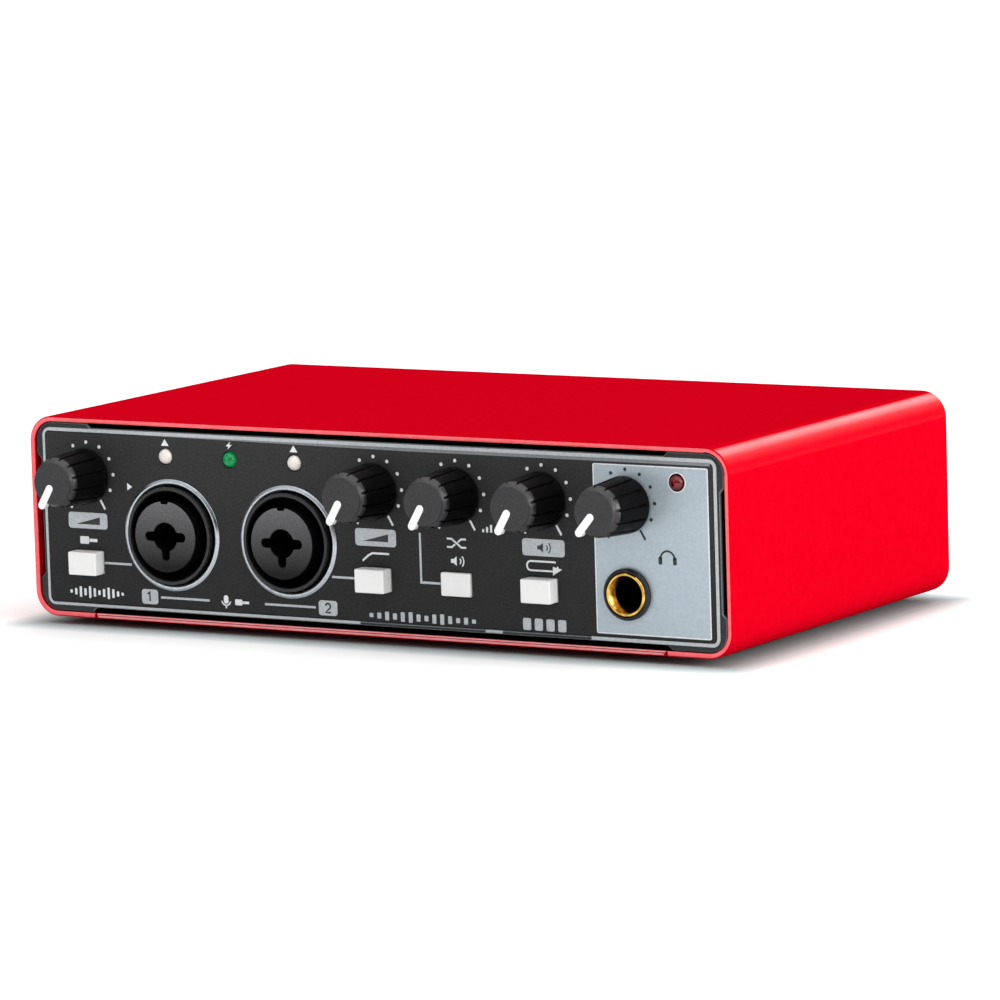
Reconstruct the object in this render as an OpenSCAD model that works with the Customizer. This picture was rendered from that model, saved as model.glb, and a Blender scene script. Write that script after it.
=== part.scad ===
// Desktop audio interface with a bent steel casing: two combination inputs, four push
// buttons, five knobs, a headphone socket and four lamps on the front, and two line
// outputs, a data socket and a latching push button at the rear.
// Lengths are millimetres. +Z is up and the front looks towards -Y.

/* [Casing] */
// Width of the steel casing
body_w = 178; // [170:1:190]
// Depth of the steel casing
body_d = 100; // [96:1:120]
// Height of the steel casing without its feet
body_h = 45; // [45:1:50]
// Thickness of the sheet steel
sheet = 1.2; // [1:0.1:1.4]
// Outer radius of the four long bends
bend_r = 5.8; // [5:0.1:6.5]
// Length of the cover's flanges under the casing, from its outer side
flange = 16; // [13:0.5:17]
// Height of the rubber feet
foot_h = 1.8; // [1.5:0.1:2]

/* [Front panel] */
// How far the panel face lies behind the casing's front edge
recess = 0.5; // [0.3:0.1:1]
// Thickness of the front panel
panel_t = 2; // [1.6:0.1:2.2]
// Width of the bezel outside the panel, measured from the casing's outer side
bezel_edge = 3.85; // [3.4:0.05:4.2]
// How far the bezel's long sides are cut back between its corner pads
cut_back = 1; // [0.6:0.1:1.2]
// Height of the row of knobs above the casing's underside
knob_z = 32; // [31.6:0.1:33]
// Height of the row of lamps
lamp_z = 37.2; // [37:0.1:37.4]
// Height of the input sockets' centres
combo_z = 19.7; // [19.5:0.1:20]
// Height of the row of push buttons
button_z = 12.6; // [12.4:0.1:13]

/* [Knobs] */
// Radius of a knob at its base
knob_r = 6.2; // [5.8:0.1:6.4]
// Radius of a knob's flat front face
cap_r = 4.75; // [4.5:0.05:4.9]
// Reach of a knob in front of the panel face
knob_reach = 13.8; // [13:0.1:15]
// Number of grooves round a knob
grooves = 12; // [8:1:12]
// Direction of a pointer at rest, anticlockwise from three o'clock
pointer_angle = 240; // [230:1:250]
// Direction of the headphone knob's pointer at rest, measured in the same way
phones_angle = 230; // [220:1:240]

/* [Push buttons] */
// Width of a button's face
button_w = 7.4; // [7:0.1:8]
// Height of a button's face
button_h = 5.2; // [5:0.1:6]
// Reach of a released button in front of the panel face
button_reach = 3.1; // [2.9:0.1:3.5]
// Travel of a button
travel = 2.5; // [2.2:0.1:2.6]

/* [Input sockets] */
// Outer radius of the bright ring round an input socket
ring_r = 12.5; // [12.2:0.1:12.8]
// Inner radius of the bright ring
ring_in = 11.2; // [11:0.1:11.4]
// Radius of the round insert in an input socket
insert_r = 7.9; // [7.8:0.05:8]
// Reach of the round insert in front of the panel face
insert_reach = 3; // [2:0.1:3.2]
// Reach of the black collar in front of the panel face
collar_reach = 1.5; // [1:0.1:1.8]

/* [Hidden] */
$fn = 64;
plug_r = 3.2;
fit_gap = 0.05;
loose = 0.2;
cut = 1;

// Places across the front, from the casing's middle
knob_x = [-74.2, 1, 21.7, 43.2, 63.8];
combo_x = [-52, -21.5];
lamp_x = [-53.1, -36.2, -19.4, 76.3];
button_x = [-74.4, 0.8, 21.2, 42.6];
phones_x = knob_x[4];
phones_z = 12.8;
latched = [false, false, true, false];

KNOBS = ["gain_left", "gain_right", "mix", "output", "phones"];
BUTTONS = ["hiz", "lowcut", "monitor", "loopback"];
SIDES = ["left", "right"];
LAMPS = ["peak_left", "phantom", "peak_right", "power"];
LAMP_COLOURS = ["white", "limegreen", "ivory", "red"];

// Levels behind the front edge
panel_y = recess;
panel_back = panel_y + panel_t;
ledge_t = 1.5;
pad_w = 15;
pad_h = 8.6;
bezel_depth = 6.5;
board_y = 16;
board_t = 1.6;

// Levels above the casing's underside
main_z = 4;
main_top = main_z + board_t;
front_board_h = 35.5;
inner_w = body_w - 2 * sheet;
inner_h = body_h - 2 * sheet;
inner_r = bend_r - sheet;

// Knob
knob_gap = 0.6;
shaft_r = 3;
shaft_reach = 10;
neck_r = 5.55;
shoulder = 1.9;
taper = atan((knob_r - neck_r) / (knob_reach - shoulder));
turns = [pointer_angle, pointer_angle, pointer_angle, pointer_angle, phones_angle];
pointer_w = 1.75;
pointer_in = 1.35;
pointer_proud = 0.15;
pointer_side = 1.4;
pointer_out = 5.7;

// Push button
stem_w = 3;
stem_end = 11;
cap_back = 3.4;
switch_w = 8;
switch_y = 8.6;

// Input socket
collar_r = 10.9;
groove_r = 9.8;
housing_w = 25.6;
housing_h = 28;
housing_y = 27.5;
groove_y = 16;
lobe_y = 9.5;
lobe_r = 1.1;
lobe_at = 4.2;
lobe_neck = 1.8;
contact_angles = [180, 270, 360];

// Headphone socket
bush_r = 4.8;
phones_end = 32.5;
phones_reach = 1.4;
nut_r = 5.6;
nut_reach = 1.3;
jack_w = 14;

// Lamps
lamp_r = 1.7;
lamp_reach = 1.2;

// Rear
rear_recess = 0.8;
rear_y = body_d - rear_recess;
output_x = [40, 64];
output_z = 16;
output_reach = 3.2;
output_depth = 31;
hex_r = 7;
hex_t = 2.6;
usb_x = 8;
usb_w = 12;
usb_h = 11;
usb_z = main_top + usb_h / 2;
phantom_x = -40;
phantom_z = 12.6;
phantom_reach = 3.4;
rear_screw = [82, 14.5];
screw_r = 1.2;
head_r = 2.7;
head_t = 1.4;
flat_head_r = 2.5;
flat_head_t = 1;
flat_shank = 3.6;

// Under the casing
foot_x = 66;
foot_y = [16, 84];
foot_r = 6;
flange_screw_x = 79;
flange_screw_y = [8, 50, 92];
wing_in = body_w / 2 - flange - 2;
wing_w = flange - bend_r + 1.3;
post = [[-68, 32], [68, 42], [-68, 62], [68, 66], [-8, 58]];

// The origin is the middle of the whole object's underside, knobs and rear bushes included
front_reach = knob_reach + pointer_proud - recess;
rear_reach = max(output_reach, phantom_reach) - rear_recess;
front_y = (front_reach - body_d - rear_reach) / 2;

// ---- Shapes used by several pieces ----

// Lifts a piece from the casing's own corner frame to the whole object's frame
module seated() {
    translate([0, front_y, foot_h]) children();
}

// Stands a flat outline drawn in X and Z between two levels of Y
module standing(y0, y1) {
    translate([0, y1, 0]) rotate([90, 0, 0]) linear_extrude(y1 - y0) children();
}

// Rectangle with round corners, centred on the origin
module round_rect(w, h, r) {
    square([w - 2 * r, h], center = true);
    square([w, h - 2 * r], center = true);
    for (x = [-1, 1], y = [-1, 1]) translate([x * (w / 2 - r), y * (h / 2 - r)]) circle(r);
}

// The same rectangle centred in the casing's front view
module casing_outline(w, h, r) {
    translate([0, body_h / 2]) round_rect(w, h, r);
}

// Round rod along Y
module rod(x, z, y0, y1, r) {
    translate([x, y1, z]) rotate([90, 0, 0]) cylinder(h = y1 - y0, r = r);
}

// Block given by its centre in X and Z, its size there, and two levels of Y
module block(x, z, w, h, y0, y1) {
    translate([x - w / 2, y0, z - h / 2]) cube([w, y1 - y0, h]);
}

// Local frame on the front panel: x right, y up, z towards the viewer
module on_front(x, z) {
    translate([x, panel_y, z]) rotate([90, 0, 0]) children();
}

// Local frame on the rear panel: z away from the casing
module on_rear(x, z) {
    translate([x, rear_y, z]) rotate([-90, 0, 0]) children();
}

// Cross recess 0.8 deep whose mouth is at level z
module cross_recess(z) {
    for (a = [0, 90]) rotate(a) translate([-1.5, -0.3, z - 0.8]) cube([3, 0.6, cut + 0.8]);
}

// Pan-head screw, its head on z = 0 and above, its shank below
module pan_screw(shank) {
    difference() {
        union() {
            cylinder(h = head_t, r = head_r);
            translate([0, 0, -shank]) cylinder(h = shank, r = screw_r);
        }
        cross_recess(head_t);
    }
}

// Solid of revolution of a countersunk screw, larger all round by gap; its flat face is at z = 0
module flat_screw_form(shank, gap) {
    rotate_extrude() polygon([
        [0, 0], [flat_head_r + gap, 0], [screw_r + gap, -flat_head_t - gap],
        [screw_r + gap, -shank], [0, -shank]
    ]);
}

module at_rear_screws() {
    for (x = [-1, 1], z = [-1, 1])
        translate([x * rear_screw[0], 0, body_h / 2 + z * rear_screw[1]]) children();
}

module at_flange_screws() {
    for (x = [-1, 1], y = flange_screw_y) translate([x * flange_screw_x, y, 0]) children();
}

// ---- Casing ----

module top_cover() color("crimson") seated() difference() {
    union() {
        standing(0, body_d) difference() {
            casing_outline(body_w, body_h, bend_r);
            casing_outline(inner_w, inner_h, inner_r);
            translate([-(body_w / 2 - flange), -cut]) square([body_w - 2 * flange, sheet + 2 * cut]);
        }
        for (x = [-1, 1], z = [-1, 1])
            block(x * (inner_w / 2 + rear_screw[0] - 4.9) / 2, body_h / 2 + z * rear_screw[1],
                inner_w / 2 - rear_screw[0] + 5.1, 8, rear_y - 2 * sheet - 0.1, rear_y - sheet - 0.1);
    }
    at_rear_screws() rod(0, 0, rear_y - 10, rear_y, screw_r + fit_gap);
    at_flange_screws() rotate([180, 0, 0]) flat_screw_form(flat_shank, fit_gap);
}

module bottom_plate() color("firebrick") seated() difference() {
    union() {
        translate([-(body_w / 2 - flange - 0.3), 0, 0]) cube([body_w - 2 * flange - 0.6, body_d, sheet]);
        for (x = [-1, 1])
            translate([x * (wing_in + wing_w / 2) - wing_w / 2, 13, sheet])
                cube([wing_w, rear_y - 18, sheet]);
        translate([-60, rear_y - 4 * sheet, 0]) cube([120, sheet, 4]);
    }
    at_flange_screws() cylinder(h = 3 * sheet, r = screw_r + fit_gap);
    for (p = post) translate([p[0], p[1], -cut]) cylinder(h = sheet + 2 * cut, r = 1.6);
}

// Outline cut from a side of the bezel: w long at the side, cut_back deep, with sloping ends
module bezel_notch(w) {
    polygon([
        [-w / 2, cut], [w / 2, cut], [w / 2, 0],
        [w / 2 - cut_back, -cut_back], [cut_back - w / 2, -cut_back], [-w / 2, 0]
    ]);
}

// Outline of the panel's seat in the bezel, smaller by inset on each side
module panel_outline(inset) {
    casing_outline(body_w - 2 * (bezel_edge + inset), body_h - 2 * (bezel_edge - 0.6 + inset), 1);
}

module front_bezel() color("dimgray") seated() {
    difference() {
        union() {
            standing(panel_y, panel_y + bezel_depth) difference() {
                casing_outline(inner_w - 2 * loose, inner_h - 2 * loose, inner_r - loose);
                for (s = [0, 180]) translate([0, body_h / 2]) rotate(s) {
                    translate([0, inner_h / 2 - loose]) bezel_notch(body_w - 2 * pad_w);
                    translate([inner_w / 2 - loose, 0]) rotate(-90) bezel_notch(body_h - 2 * pad_h);
                }
            }
            for (x = [-1, 1]) translate([x * flange_screw_x - 3.5, panel_back, sheet])
                cube([7, flange_screw_y[0] + 3 - panel_back, 5]);
        }
        standing(panel_y - cut, panel_back) panel_outline(0);
        standing(panel_back - cut, panel_y + bezel_depth + cut) panel_outline(ledge_t);
        for (x = [-1, 1]) translate([x * flange_screw_x, flange_screw_y[0], 0])
            cylinder(h = 5.5, r = screw_r + fit_gap);
    }
}

module front_panel() color("darkslategray") seated() difference() {
    standing(panel_y, panel_back) panel_outline(0.1);
    for (x = knob_x) rod(x, knob_z, panel_y - cut, panel_back + cut, 3.8);
    for (x = combo_x) rod(x, combo_z, panel_y - cut, panel_back + cut, ring_in);
    for (x = lamp_x) rod(x, lamp_z, panel_y - cut, panel_back + cut, lamp_r + 0.15);
    rod(phones_x, phones_z, panel_y - cut, panel_back + cut, bush_r + 0.15);
    for (x = button_x)
        block(x, button_z, button_w + 0.5, button_h + 0.5, panel_y - cut, panel_back + cut);
}

module rear_panel() color("dimgray") seated() difference() {
    standing(rear_y - sheet, rear_y) casing_outline(inner_w - 2 * loose, inner_h - 2 * loose, inner_r - loose);
    for (x = output_x) rod(x, output_z, rear_y - 2 * sheet, rear_y + cut, bush_r + 0.15);
    at_rear_screws() rod(0, 0, rear_y - 2 * sheet, rear_y + cut, screw_r + 0.3);
    block(usb_x, usb_z, usb_w + 0.4, usb_h + 0.4, rear_y - 2 * sheet, rear_y + cut);
    block(phantom_x, phantom_z, button_w + 0.5, button_h + 0.5, rear_y - 2 * sheet, rear_y + cut);
}

module rubber_feet() color("black") seated()
    for (x = [-foot_x, foot_x], y = foot_y) translate([x, y, -foot_h]) rotate_extrude()
        polygon([[0, 0], [foot_r - 0.6, 0], [foot_r, 0.6], [foot_r, foot_h], [0, foot_h]]);

module cover_screws() color("silver") seated() at_flange_screws() rotate([180, 0, 0]) difference() {
    flat_screw_form(flat_shank, 0);
    cross_recess(0);
}

module rear_screws() color("silver") seated()
    at_rear_screws() translate([0, rear_y, 0]) rotate([-90, 0, 0]) pan_screw(5);

// ---- Boards and what stands on them ----

module board_posts() color("ivory") seated() for (p = post) translate([p[0], p[1], 0]) {
    cylinder(h = sheet, r = 1.5);
    translate([0, 0, sheet]) cylinder(h = main_z - sheet, r = 3, $fn = 6);
    translate([0, 0, main_z]) cylinder(h = board_t, r = 1.5);
    translate([0, 0, main_top]) cylinder(h = 1.2, r = 2.2);
}

module main_board() color("darkgreen") seated() difference() {
    translate([-80, 13, main_z]) cube([160, 81, board_t]);
    for (p = post) translate([p[0], p[1], main_z - cut]) cylinder(h = board_t + 2 * cut, r = 1.6);
    for (x = [-1, 1]) translate([x * 80, 13, main_z]) cylinder(h = 3 * board_t, r = 3, center = true);
}

module front_board() color("darkgreen") seated() difference() {
    translate([-80, board_y, main_top + 0.1]) cube([160, board_t, front_board_h]);
    for (x = combo_x) block(x, combo_z, housing_w + 1, housing_h + 1, board_y - cut, board_y + board_t + cut);
    block(phones_x, phones_z, jack_w + 1, 16, board_y - cut, board_y + board_t + cut);
}

module board_connector() color("black") seated() {
    block(22, main_top + 2.5, 30, 5, board_y + board_t, board_y + board_t + 6);
    for (i = [0:11]) translate([22 - 14 + i * 2.54, board_y + board_t + 6, main_top]) cube([0.6, 3, 0.6]);
}

module capacitors() color("midnightblue") seated() {
    for (i = [0:4]) translate([-62 + i * 11, 48, main_top]) capacitor(4, 11);
    for (i = [0:5]) translate([-50 + i * 9, 66, main_top]) capacitor(3.1, 7);
    for (i = [0:2]) translate([46 + i * 10, 50, main_top]) capacitor(3.1, 9);
}

module capacitor(r, h) {
    rotate_extrude() polygon([
        [0, 0], [r, 0], [r, 1], [r - 0.3, 1.3], [r, 1.6], [r, h - 0.4], [r - 0.4, h], [0, h]
    ]);
}

module chips() color("black") seated() {
    for (c = [[22, 60, 12, 12], [0, 76, 9, 9], [26, 80, 7, 7]]) translate([c[0], c[1], main_top]) chip(c[2], c[3]);
    for (c = [[-64, 74], [-18, 40], [44, 36]]) translate([c[0], c[1], main_top]) chip(6, 5);
}

// Flat package w by d with six legs along each long side
module chip(w, d) {
    translate([-w / 2, -d / 2, 0]) cube([w, d, 1.4]);
    for (i = [0:5], s = [-1, 1])
        translate([w * (i + 0.3) / 6 - w / 2, s * (d / 2 + 0.5) - 0.5, 0]) cube([0.4, 1, 0.5]);
}

module potentiometer_bodies() color("slategray") seated() for (x = knob_x) difference() {
    union() {
        block(x, knob_z, 9.8, 9.8, board_y - 6.8, board_y);
        rod(x, knob_z, panel_back + 0.5, board_y - 6.8, 3.5);
    }
    rod(x, knob_z, 0, 12.4, shaft_r + fit_gap);
}

module switch_body() {
    difference() {
        translate([-switch_w / 2, -switch_w / 2, 0]) cube([switch_w, switch_w, board_y - switch_y]);
        translate([-stem_w / 2 - 0.15, -stem_w / 2 - 0.15, 0.8]) cube([stem_w + 0.3, stem_w + 0.3, 10]);
    }
}

module switch_bodies() color("gainsboro") seated() {
    for (x = button_x) on_front(x, button_z) translate([0, 0, panel_y - board_y]) switch_body();
    on_rear(phantom_x, phantom_z) translate([0, 0, panel_y - board_y]) switch_body();
    block(phantom_x, (main_top + phantom_z - switch_w / 2) / 2, switch_w, phantom_z - switch_w / 2 - main_top,
        rear_y - board_y + panel_y, rear_y - switch_y + panel_y);
}

// ---- Knobs ----

module knob_body(angle) {
    difference() {
        rotate_extrude() polygon([
            [0, knob_gap], [knob_r, knob_gap], [knob_r, knob_gap + 0.6], [neck_r, knob_reach - shoulder],
            [cap_r + 0.15, knob_reach - 0.65], [cap_r, knob_reach - 0.65], [cap_r, knob_reach - 0.25],
            [cap_r - 0.25, knob_reach], [0, knob_reach]
        ]);
        translate([0, 0, -cut]) cylinder(h = shaft_reach + cut, r = shaft_r);
        for (i = [0:grooves - 1]) rotate(angle + (i + 0.5) * 360 / grooves)
            translate([knob_r - 0.4, -0.3, knob_gap + 1.4]) rotate([0, -taper, 0]) cube([3, 0.6, knob_reach]);
        pointer_bar(angle, pointer_out + cut, cut);
    }
}

// The bar of a pointer: across the front face, and deeper where it hangs over the edge
module pointer_bar(angle, out, proud) {
    rotate(angle) {
        translate([0, 0, knob_reach - 1]) linear_extrude(1 + proud) pointer_outline(pointer_in, out);
        translate([0, 0, knob_reach - pointer_side])
            linear_extrude(pointer_side + proud) pointer_outline(neck_r - 0.1, out);
    }
}

// Bar with round ends whose centres lie between two radii
module pointer_outline(from, to) {
    translate([from, -pointer_w / 2]) square([to - from, pointer_w]);
    for (r = [from, to]) translate([r, 0]) circle(pointer_w / 2);
}

module knob(i) color("black") seated() on_front(knob_x[i], knob_z) knob_body(turns[i]);

module pointer(i) color("white") seated() on_front(knob_x[i], knob_z)
    pointer_bar(turns[i], pointer_out, pointer_proud);

module shaft(i) color("silver") seated() on_front(knob_x[i], knob_z)
    translate([0, 0, panel_y - 12]) cylinder(h = shaft_reach + 12 - panel_y, r = shaft_r);

// ---- Push buttons ----

module button_cap(reach) {
    translate([-button_w / 2, -button_h / 2, -cap_back]) cube([button_w, button_h, cap_back + reach]);
    translate([-button_w / 2 - 0.75, -button_h / 2 - 0.75, -cap_back])
        cube([button_w + 1.5, button_h + 1.5, 1]);
}

module button_stem() {
    translate([-stem_w / 2, -stem_w / 2, -stem_end]) cube([stem_w, stem_w, stem_end - cap_back]);
}

module on_button(i) {
    on_front(button_x[i], button_z) translate([0, 0, latched[i] ? -travel : 0]) children();
}

module button(i) color("white") seated() on_button(i) button_cap(button_reach);

module stem(i) color("silver") seated() on_button(i) button_stem();

module button_phantom() color("white") seated() on_rear(phantom_x, phantom_z) button_cap(phantom_reach);

module stem_phantom() color("silver") seated() on_rear(phantom_x, phantom_z) button_stem();

// ---- Input sockets ----

module combo_ring(i) color("silver") seated() on_front(combo_x[i], combo_z) rotate_extrude()
    polygon([
        [ring_in, 0], [ring_r, 0], [ring_r, 0.15],
        [ring_r - 0.25, 0.4], [ring_in + 0.25, 0.4], [ring_in, 0.15]
    ]);

module combo_housing(i) color("black") seated() difference() {
    union() {
        rod(combo_x[i], combo_z, panel_y - collar_reach, panel_back + 0.2, collar_r);
        block(combo_x[i], combo_z, housing_w, housing_h, panel_back + 0.1, housing_y);
    }
    rod(combo_x[i], combo_z, -10, groove_y, groove_r);
    rod(combo_x[i], combo_z, -10, housing_y - 1, plug_r);
}

module combo_insert(i) color("dimgray") seated() difference() {
    rod(combo_x[i], combo_z, panel_y - insert_reach, groove_y, insert_r);
    rod(combo_x[i], combo_z, -10, groove_y + cut, plug_r);
    for (a = contact_angles) on_front(combo_x[i], combo_z) rotate(a)
        translate([0, 0, panel_y - lobe_y]) linear_extrude(20) {
            translate([lobe_at, 0]) circle(lobe_r);
            translate([0, -lobe_neck / 2]) square([lobe_at, lobe_neck]);
        }
    block(combo_x[i], combo_z + insert_r, 1.9, 1.3, -10, groove_y - 1);
}

// Spring contacts in the input sockets, and solder lugs of the other sockets
module jack_contacts() color("gold") seated() {
    for (x = combo_x, a = contact_angles)
        translate([x + lobe_at * cos(a), lobe_y, combo_z + lobe_at * sin(a)]) rotate([90, 0, 0]) difference() {
            cylinder(h = 3, r = 0.9);
            translate([0, 0, cut]) cylinder(h = 3, r = 0.55);
        }
    for (s = [-1, 1], y = [20, 24, 28])
        block(phones_x + s * (jack_w / 2 + 0.2), main_top + 3, 0.4, 6, y, y + 2);
    for (x = output_x, s = [-1, 1], y = [72, 76, 80])
        block(x + s * (jack_w / 2 + 0.2), main_top + 3, 0.4, 6, y, y + 2);
}

// ---- Headphone socket ----

module phones_nut() color("black") seated() on_front(phones_x, phones_z) rotate_extrude()
    polygon([
        [bush_r + 0.1, 0], [nut_r, 0], [nut_r, nut_reach - 0.3],
        [nut_r - 0.3, nut_reach], [bush_r + 0.1, nut_reach]
    ]);

module phones_bush() color("gold") seated() on_front(phones_x, phones_z) rotate_extrude()
    polygon([
        [plug_r, -5.5], [bush_r, -5.5], [bush_r, phones_reach - 0.2], [bush_r - 0.2, phones_reach],
        [bush_r - 0.6, phones_reach], [plug_r, phones_reach - 1.6]
    ]);

module phones_jack() color("black") seated() difference() {
    union() {
        block(phones_x, (main_top + phones_z + jack_w / 2) / 2, jack_w, phones_z + jack_w / 2 - main_top,
            panel_y + 5.5, phones_end);
        rod(phones_x, phones_z, panel_back + 0.2, panel_y + 5.5, 6.4);
    }
    rod(phones_x, phones_z, 0, phones_end - 1, plug_r);
    rod(phones_x, phones_z, 0, panel_y + 5.5, bush_r);
}

// ---- Lamps ----

module lamp(i) color(LAMP_COLOURS[i]) seated() {
    on_front(lamp_x[i], lamp_z) {
        rotate_extrude() intersection() {
            union() {
                translate([0, lamp_reach - lamp_r]) circle(lamp_r);
                translate([0, -5]) square([lamp_r, 5 + lamp_reach - lamp_r]);
                translate([0, -5]) square([lamp_r + 0.4, 1]);
            }
            translate([0, -6]) square([5, 10]);
        }
        for (s = [-1, 1]) translate([s * 0.9 - 0.25, -0.25, panel_y - board_y])
            cube([0.5, 0.5, board_y - 5 - panel_y]);
    }
}

// ---- Rear sockets ----

module output_jack(i) color("black") seated() difference() {
    union() {
        block(output_x[i], (main_top + output_z + jack_w / 2) / 2, jack_w, output_z + jack_w / 2 - main_top,
            rear_y - output_depth, rear_y - sheet - 0.1);
        rod(output_x[i], output_z, rear_y - 5, rear_y + output_reach, bush_r);
    }
    rod(output_x[i], output_z, rear_y - output_depth + 1.5, rear_y + 2 * output_reach, plug_r);
}

module output_nuts() color("silver") seated() for (x = output_x) difference() {
    union() {
        translate([x, rear_y + hex_t, output_z]) rotate([90, 0, 0])
            cylinder(h = hex_t - 0.6, r = hex_r, $fn = 6);
        rod(x, output_z, rear_y, rear_y + 0.6, hex_r + 0.6);
    }
    rod(x, output_z, rear_y - cut, rear_y + hex_t + cut, bush_r + fit_gap);
}

module usb_socket() color("silver") seated() difference() {
    block(usb_x, usb_z, usb_w, usb_h, rear_y - 15, rear_y + 0.4);
    block(usb_x, usb_z, 8.5, 7.8, rear_y - 9, rear_y + cut);
    for (s = [-1, 1]) translate([usb_x + s * 4.25, rear_y - 9, usb_z + 3.9]) rotate([0, 45, 0])
        translate([-0.9, 0, -0.9]) cube([1.8, 20, 1.8]);
}

module usb_tongue() color("white") seated() block(usb_x, usb_z, 5.6, 3.2, rear_y - 9, rear_y - 1);

// ---- What is drawn ----

top_cover();
bottom_plate();
front_bezel();
front_panel();
rear_panel();
rubber_feet();
cover_screws();
rear_screws();
board_posts();
main_board();
front_board();
board_connector();
capacitors();
chips();
potentiometer_bodies();
switch_bodies();
for (i = [0:4]) knob(i);
for (i = [0:4]) pointer(i);
for (i = [0:4]) shaft(i);
for (i = [0:3]) button(i);
for (i = [0:3]) stem(i);
button_phantom();
stem_phantom();
for (i = [0:1]) combo_ring(i);
for (i = [0:1]) combo_housing(i);
for (i = [0:1]) combo_insert(i);
jack_contacts();
phones_nut();
phones_bush();
phones_jack();
for (i = [0:3]) lamp(i);
for (i = [0:1]) output_jack(i);
output_nuts();
usb_socket();
usb_tongue();
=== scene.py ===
"""Looks of the desktop audio interface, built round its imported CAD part.

Shapes are written in millimetres in the casing's own frame: X from its middle, Y back from its front
edge, Z up from its underside. place() and the frames below turn them into metres in the part's frame.
"""

import math

import bmesh
import bpy
import numpy as np
from mathutils import Matrix, Vector


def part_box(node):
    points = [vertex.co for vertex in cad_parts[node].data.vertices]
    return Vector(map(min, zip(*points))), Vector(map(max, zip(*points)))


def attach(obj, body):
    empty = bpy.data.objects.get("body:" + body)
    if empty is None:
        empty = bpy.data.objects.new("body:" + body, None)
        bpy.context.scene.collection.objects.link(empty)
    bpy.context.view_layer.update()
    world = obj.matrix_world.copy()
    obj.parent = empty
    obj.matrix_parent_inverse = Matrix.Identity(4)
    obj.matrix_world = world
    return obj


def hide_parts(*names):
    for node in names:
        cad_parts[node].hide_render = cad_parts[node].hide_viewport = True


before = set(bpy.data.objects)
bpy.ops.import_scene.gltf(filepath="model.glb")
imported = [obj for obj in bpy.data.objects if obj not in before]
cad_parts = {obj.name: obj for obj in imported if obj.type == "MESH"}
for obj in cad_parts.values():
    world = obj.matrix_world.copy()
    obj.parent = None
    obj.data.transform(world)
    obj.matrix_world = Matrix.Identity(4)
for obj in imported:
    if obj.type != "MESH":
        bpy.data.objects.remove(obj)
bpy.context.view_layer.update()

MM = 0.001
CASE_LOW, CASE_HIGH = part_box("top_cover")
CASE_W = (CASE_HIGH.x - CASE_LOW.x) / MM
CASE_D = (CASE_HIGH.y - CASE_LOW.y) / MM
CASE_H = (CASE_HIGH.z - CASE_LOW.z) / MM
KNOBS = ["gain_left", "gain_right", "mix", "output", "phones"]
BUTTONS = ["hiz", "lowcut", "monitor", "loopback"]
SIDES = ["left", "right"]


def place(x, y, z):
    """A point of the casing's frame, in metres in the part's frame."""
    return Vector((x * MM, CASE_LOW.y + y * MM, CASE_LOW.z + z * MM))


def span(node):
    """Lowest and highest corner of a CAD node in the casing's frame, in millimetres."""
    low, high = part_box(node)
    shift = Vector((0, CASE_LOW.y, CASE_LOW.z))
    return (low - shift) / MM, (high - shift) / MM


def in_casing(point):
    """A point of the part's frame, in millimetres in the casing's frame."""
    return point.x / MM, (point.y - CASE_LOW.y) / MM, (point.z - CASE_LOW.z) / MM


def middle(node):
    """Middle of a CAD node in X and Z."""
    low, high = span(node)
    return (low.x + high.x) / 2, (low.z + high.z) / 2


def size_of(node):
    """Width, depth and height of a CAD node."""
    low, high = span(node)
    return high - low


PANEL_Y = span("front_panel")[0].y
REAR_Y = span("rear_panel")[1].y
SHEET = size_of("rear_panel").y
BEND_R = 5.8
FLANGE = 16
MID_Z = CASE_H / 2


def proud(node):
    """How far a CAD node stands out from the panel's face."""
    return PANEL_Y - span(node)[0].y


# ---- Frames: u right, v up and w out of the surface, seen from outside ----

def on_front(x, z):
    return lambda u, v, w: place(x + u, PANEL_Y - w, z + v)


def on_rear(x, z):
    return lambda u, v, w: place(x - u, REAR_Y + w, z + v)


def standing_up(x, y):
    return lambda u, v, w: place(x + u, y + v, w)


def along_y(u, v, w):
    """w runs backwards along Y from the casing's front edge."""
    return place(-u, w, v)


# ---- Flat outlines, as lists of points ----

def arc(cx, cy, r, start, end, steps):
    turns = [math.radians(start + (end - start) * i / steps) for i in range(steps + 1)]
    return [(cx + r * math.cos(t), cy + r * math.sin(t)) for t in turns]


def polar(r, turn):
    return r * math.cos(turn), r * math.sin(turn)


def circle(r, steps=96, cx=0.0, cy=0.0):
    return arc(cx, cy, r, 0, 360, steps)[:-1]


def round_rect(w, h, r, steps=6, cx=0.0, cy=0.0):
    a, b = w / 2 - r, h / 2 - r
    corners = [(a, b, 0), (-a, b, 90), (-a, -b, 180), (a, -b, 270)]
    return [p for x, y, t in corners for p in arc(cx + x, cy + y, r, t, t + 90, steps)]


def eased(points, r, steps=4, closed=True):
    """The outline with its sharp corners rounded to radius r, or less where a side is short."""
    out = []
    count = len(points)
    for i, p in enumerate(points):
        if not closed and i in (0, count - 1):
            out.append(p)
            continue
        here, back, on = Vector(p), Vector(points[i - 1]), Vector(points[(i + 1) % count])
        a, b = back - here, on - here
        la, lb = a.length, b.length
        if la < 1e-9 or lb < 1e-9:
            continue
        a, b = a / la, b / lb
        turn = math.pi - math.acos(max(-1.0, min(1.0, a.dot(b))))
        if turn < math.radians(12):
            out.append(p)
            continue
        reach = min(r * math.tan(turn / 2), 0.46 * la, 0.46 * lb)
        start, end = here + a * reach, here + b * reach
        for k in range(steps + 1):
            t = k / steps
            q = start * (1 - t) ** 2 + here * (2 * t * (1 - t)) + end * t ** 2
            out.append((q.x, q.y))
    return out


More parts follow.
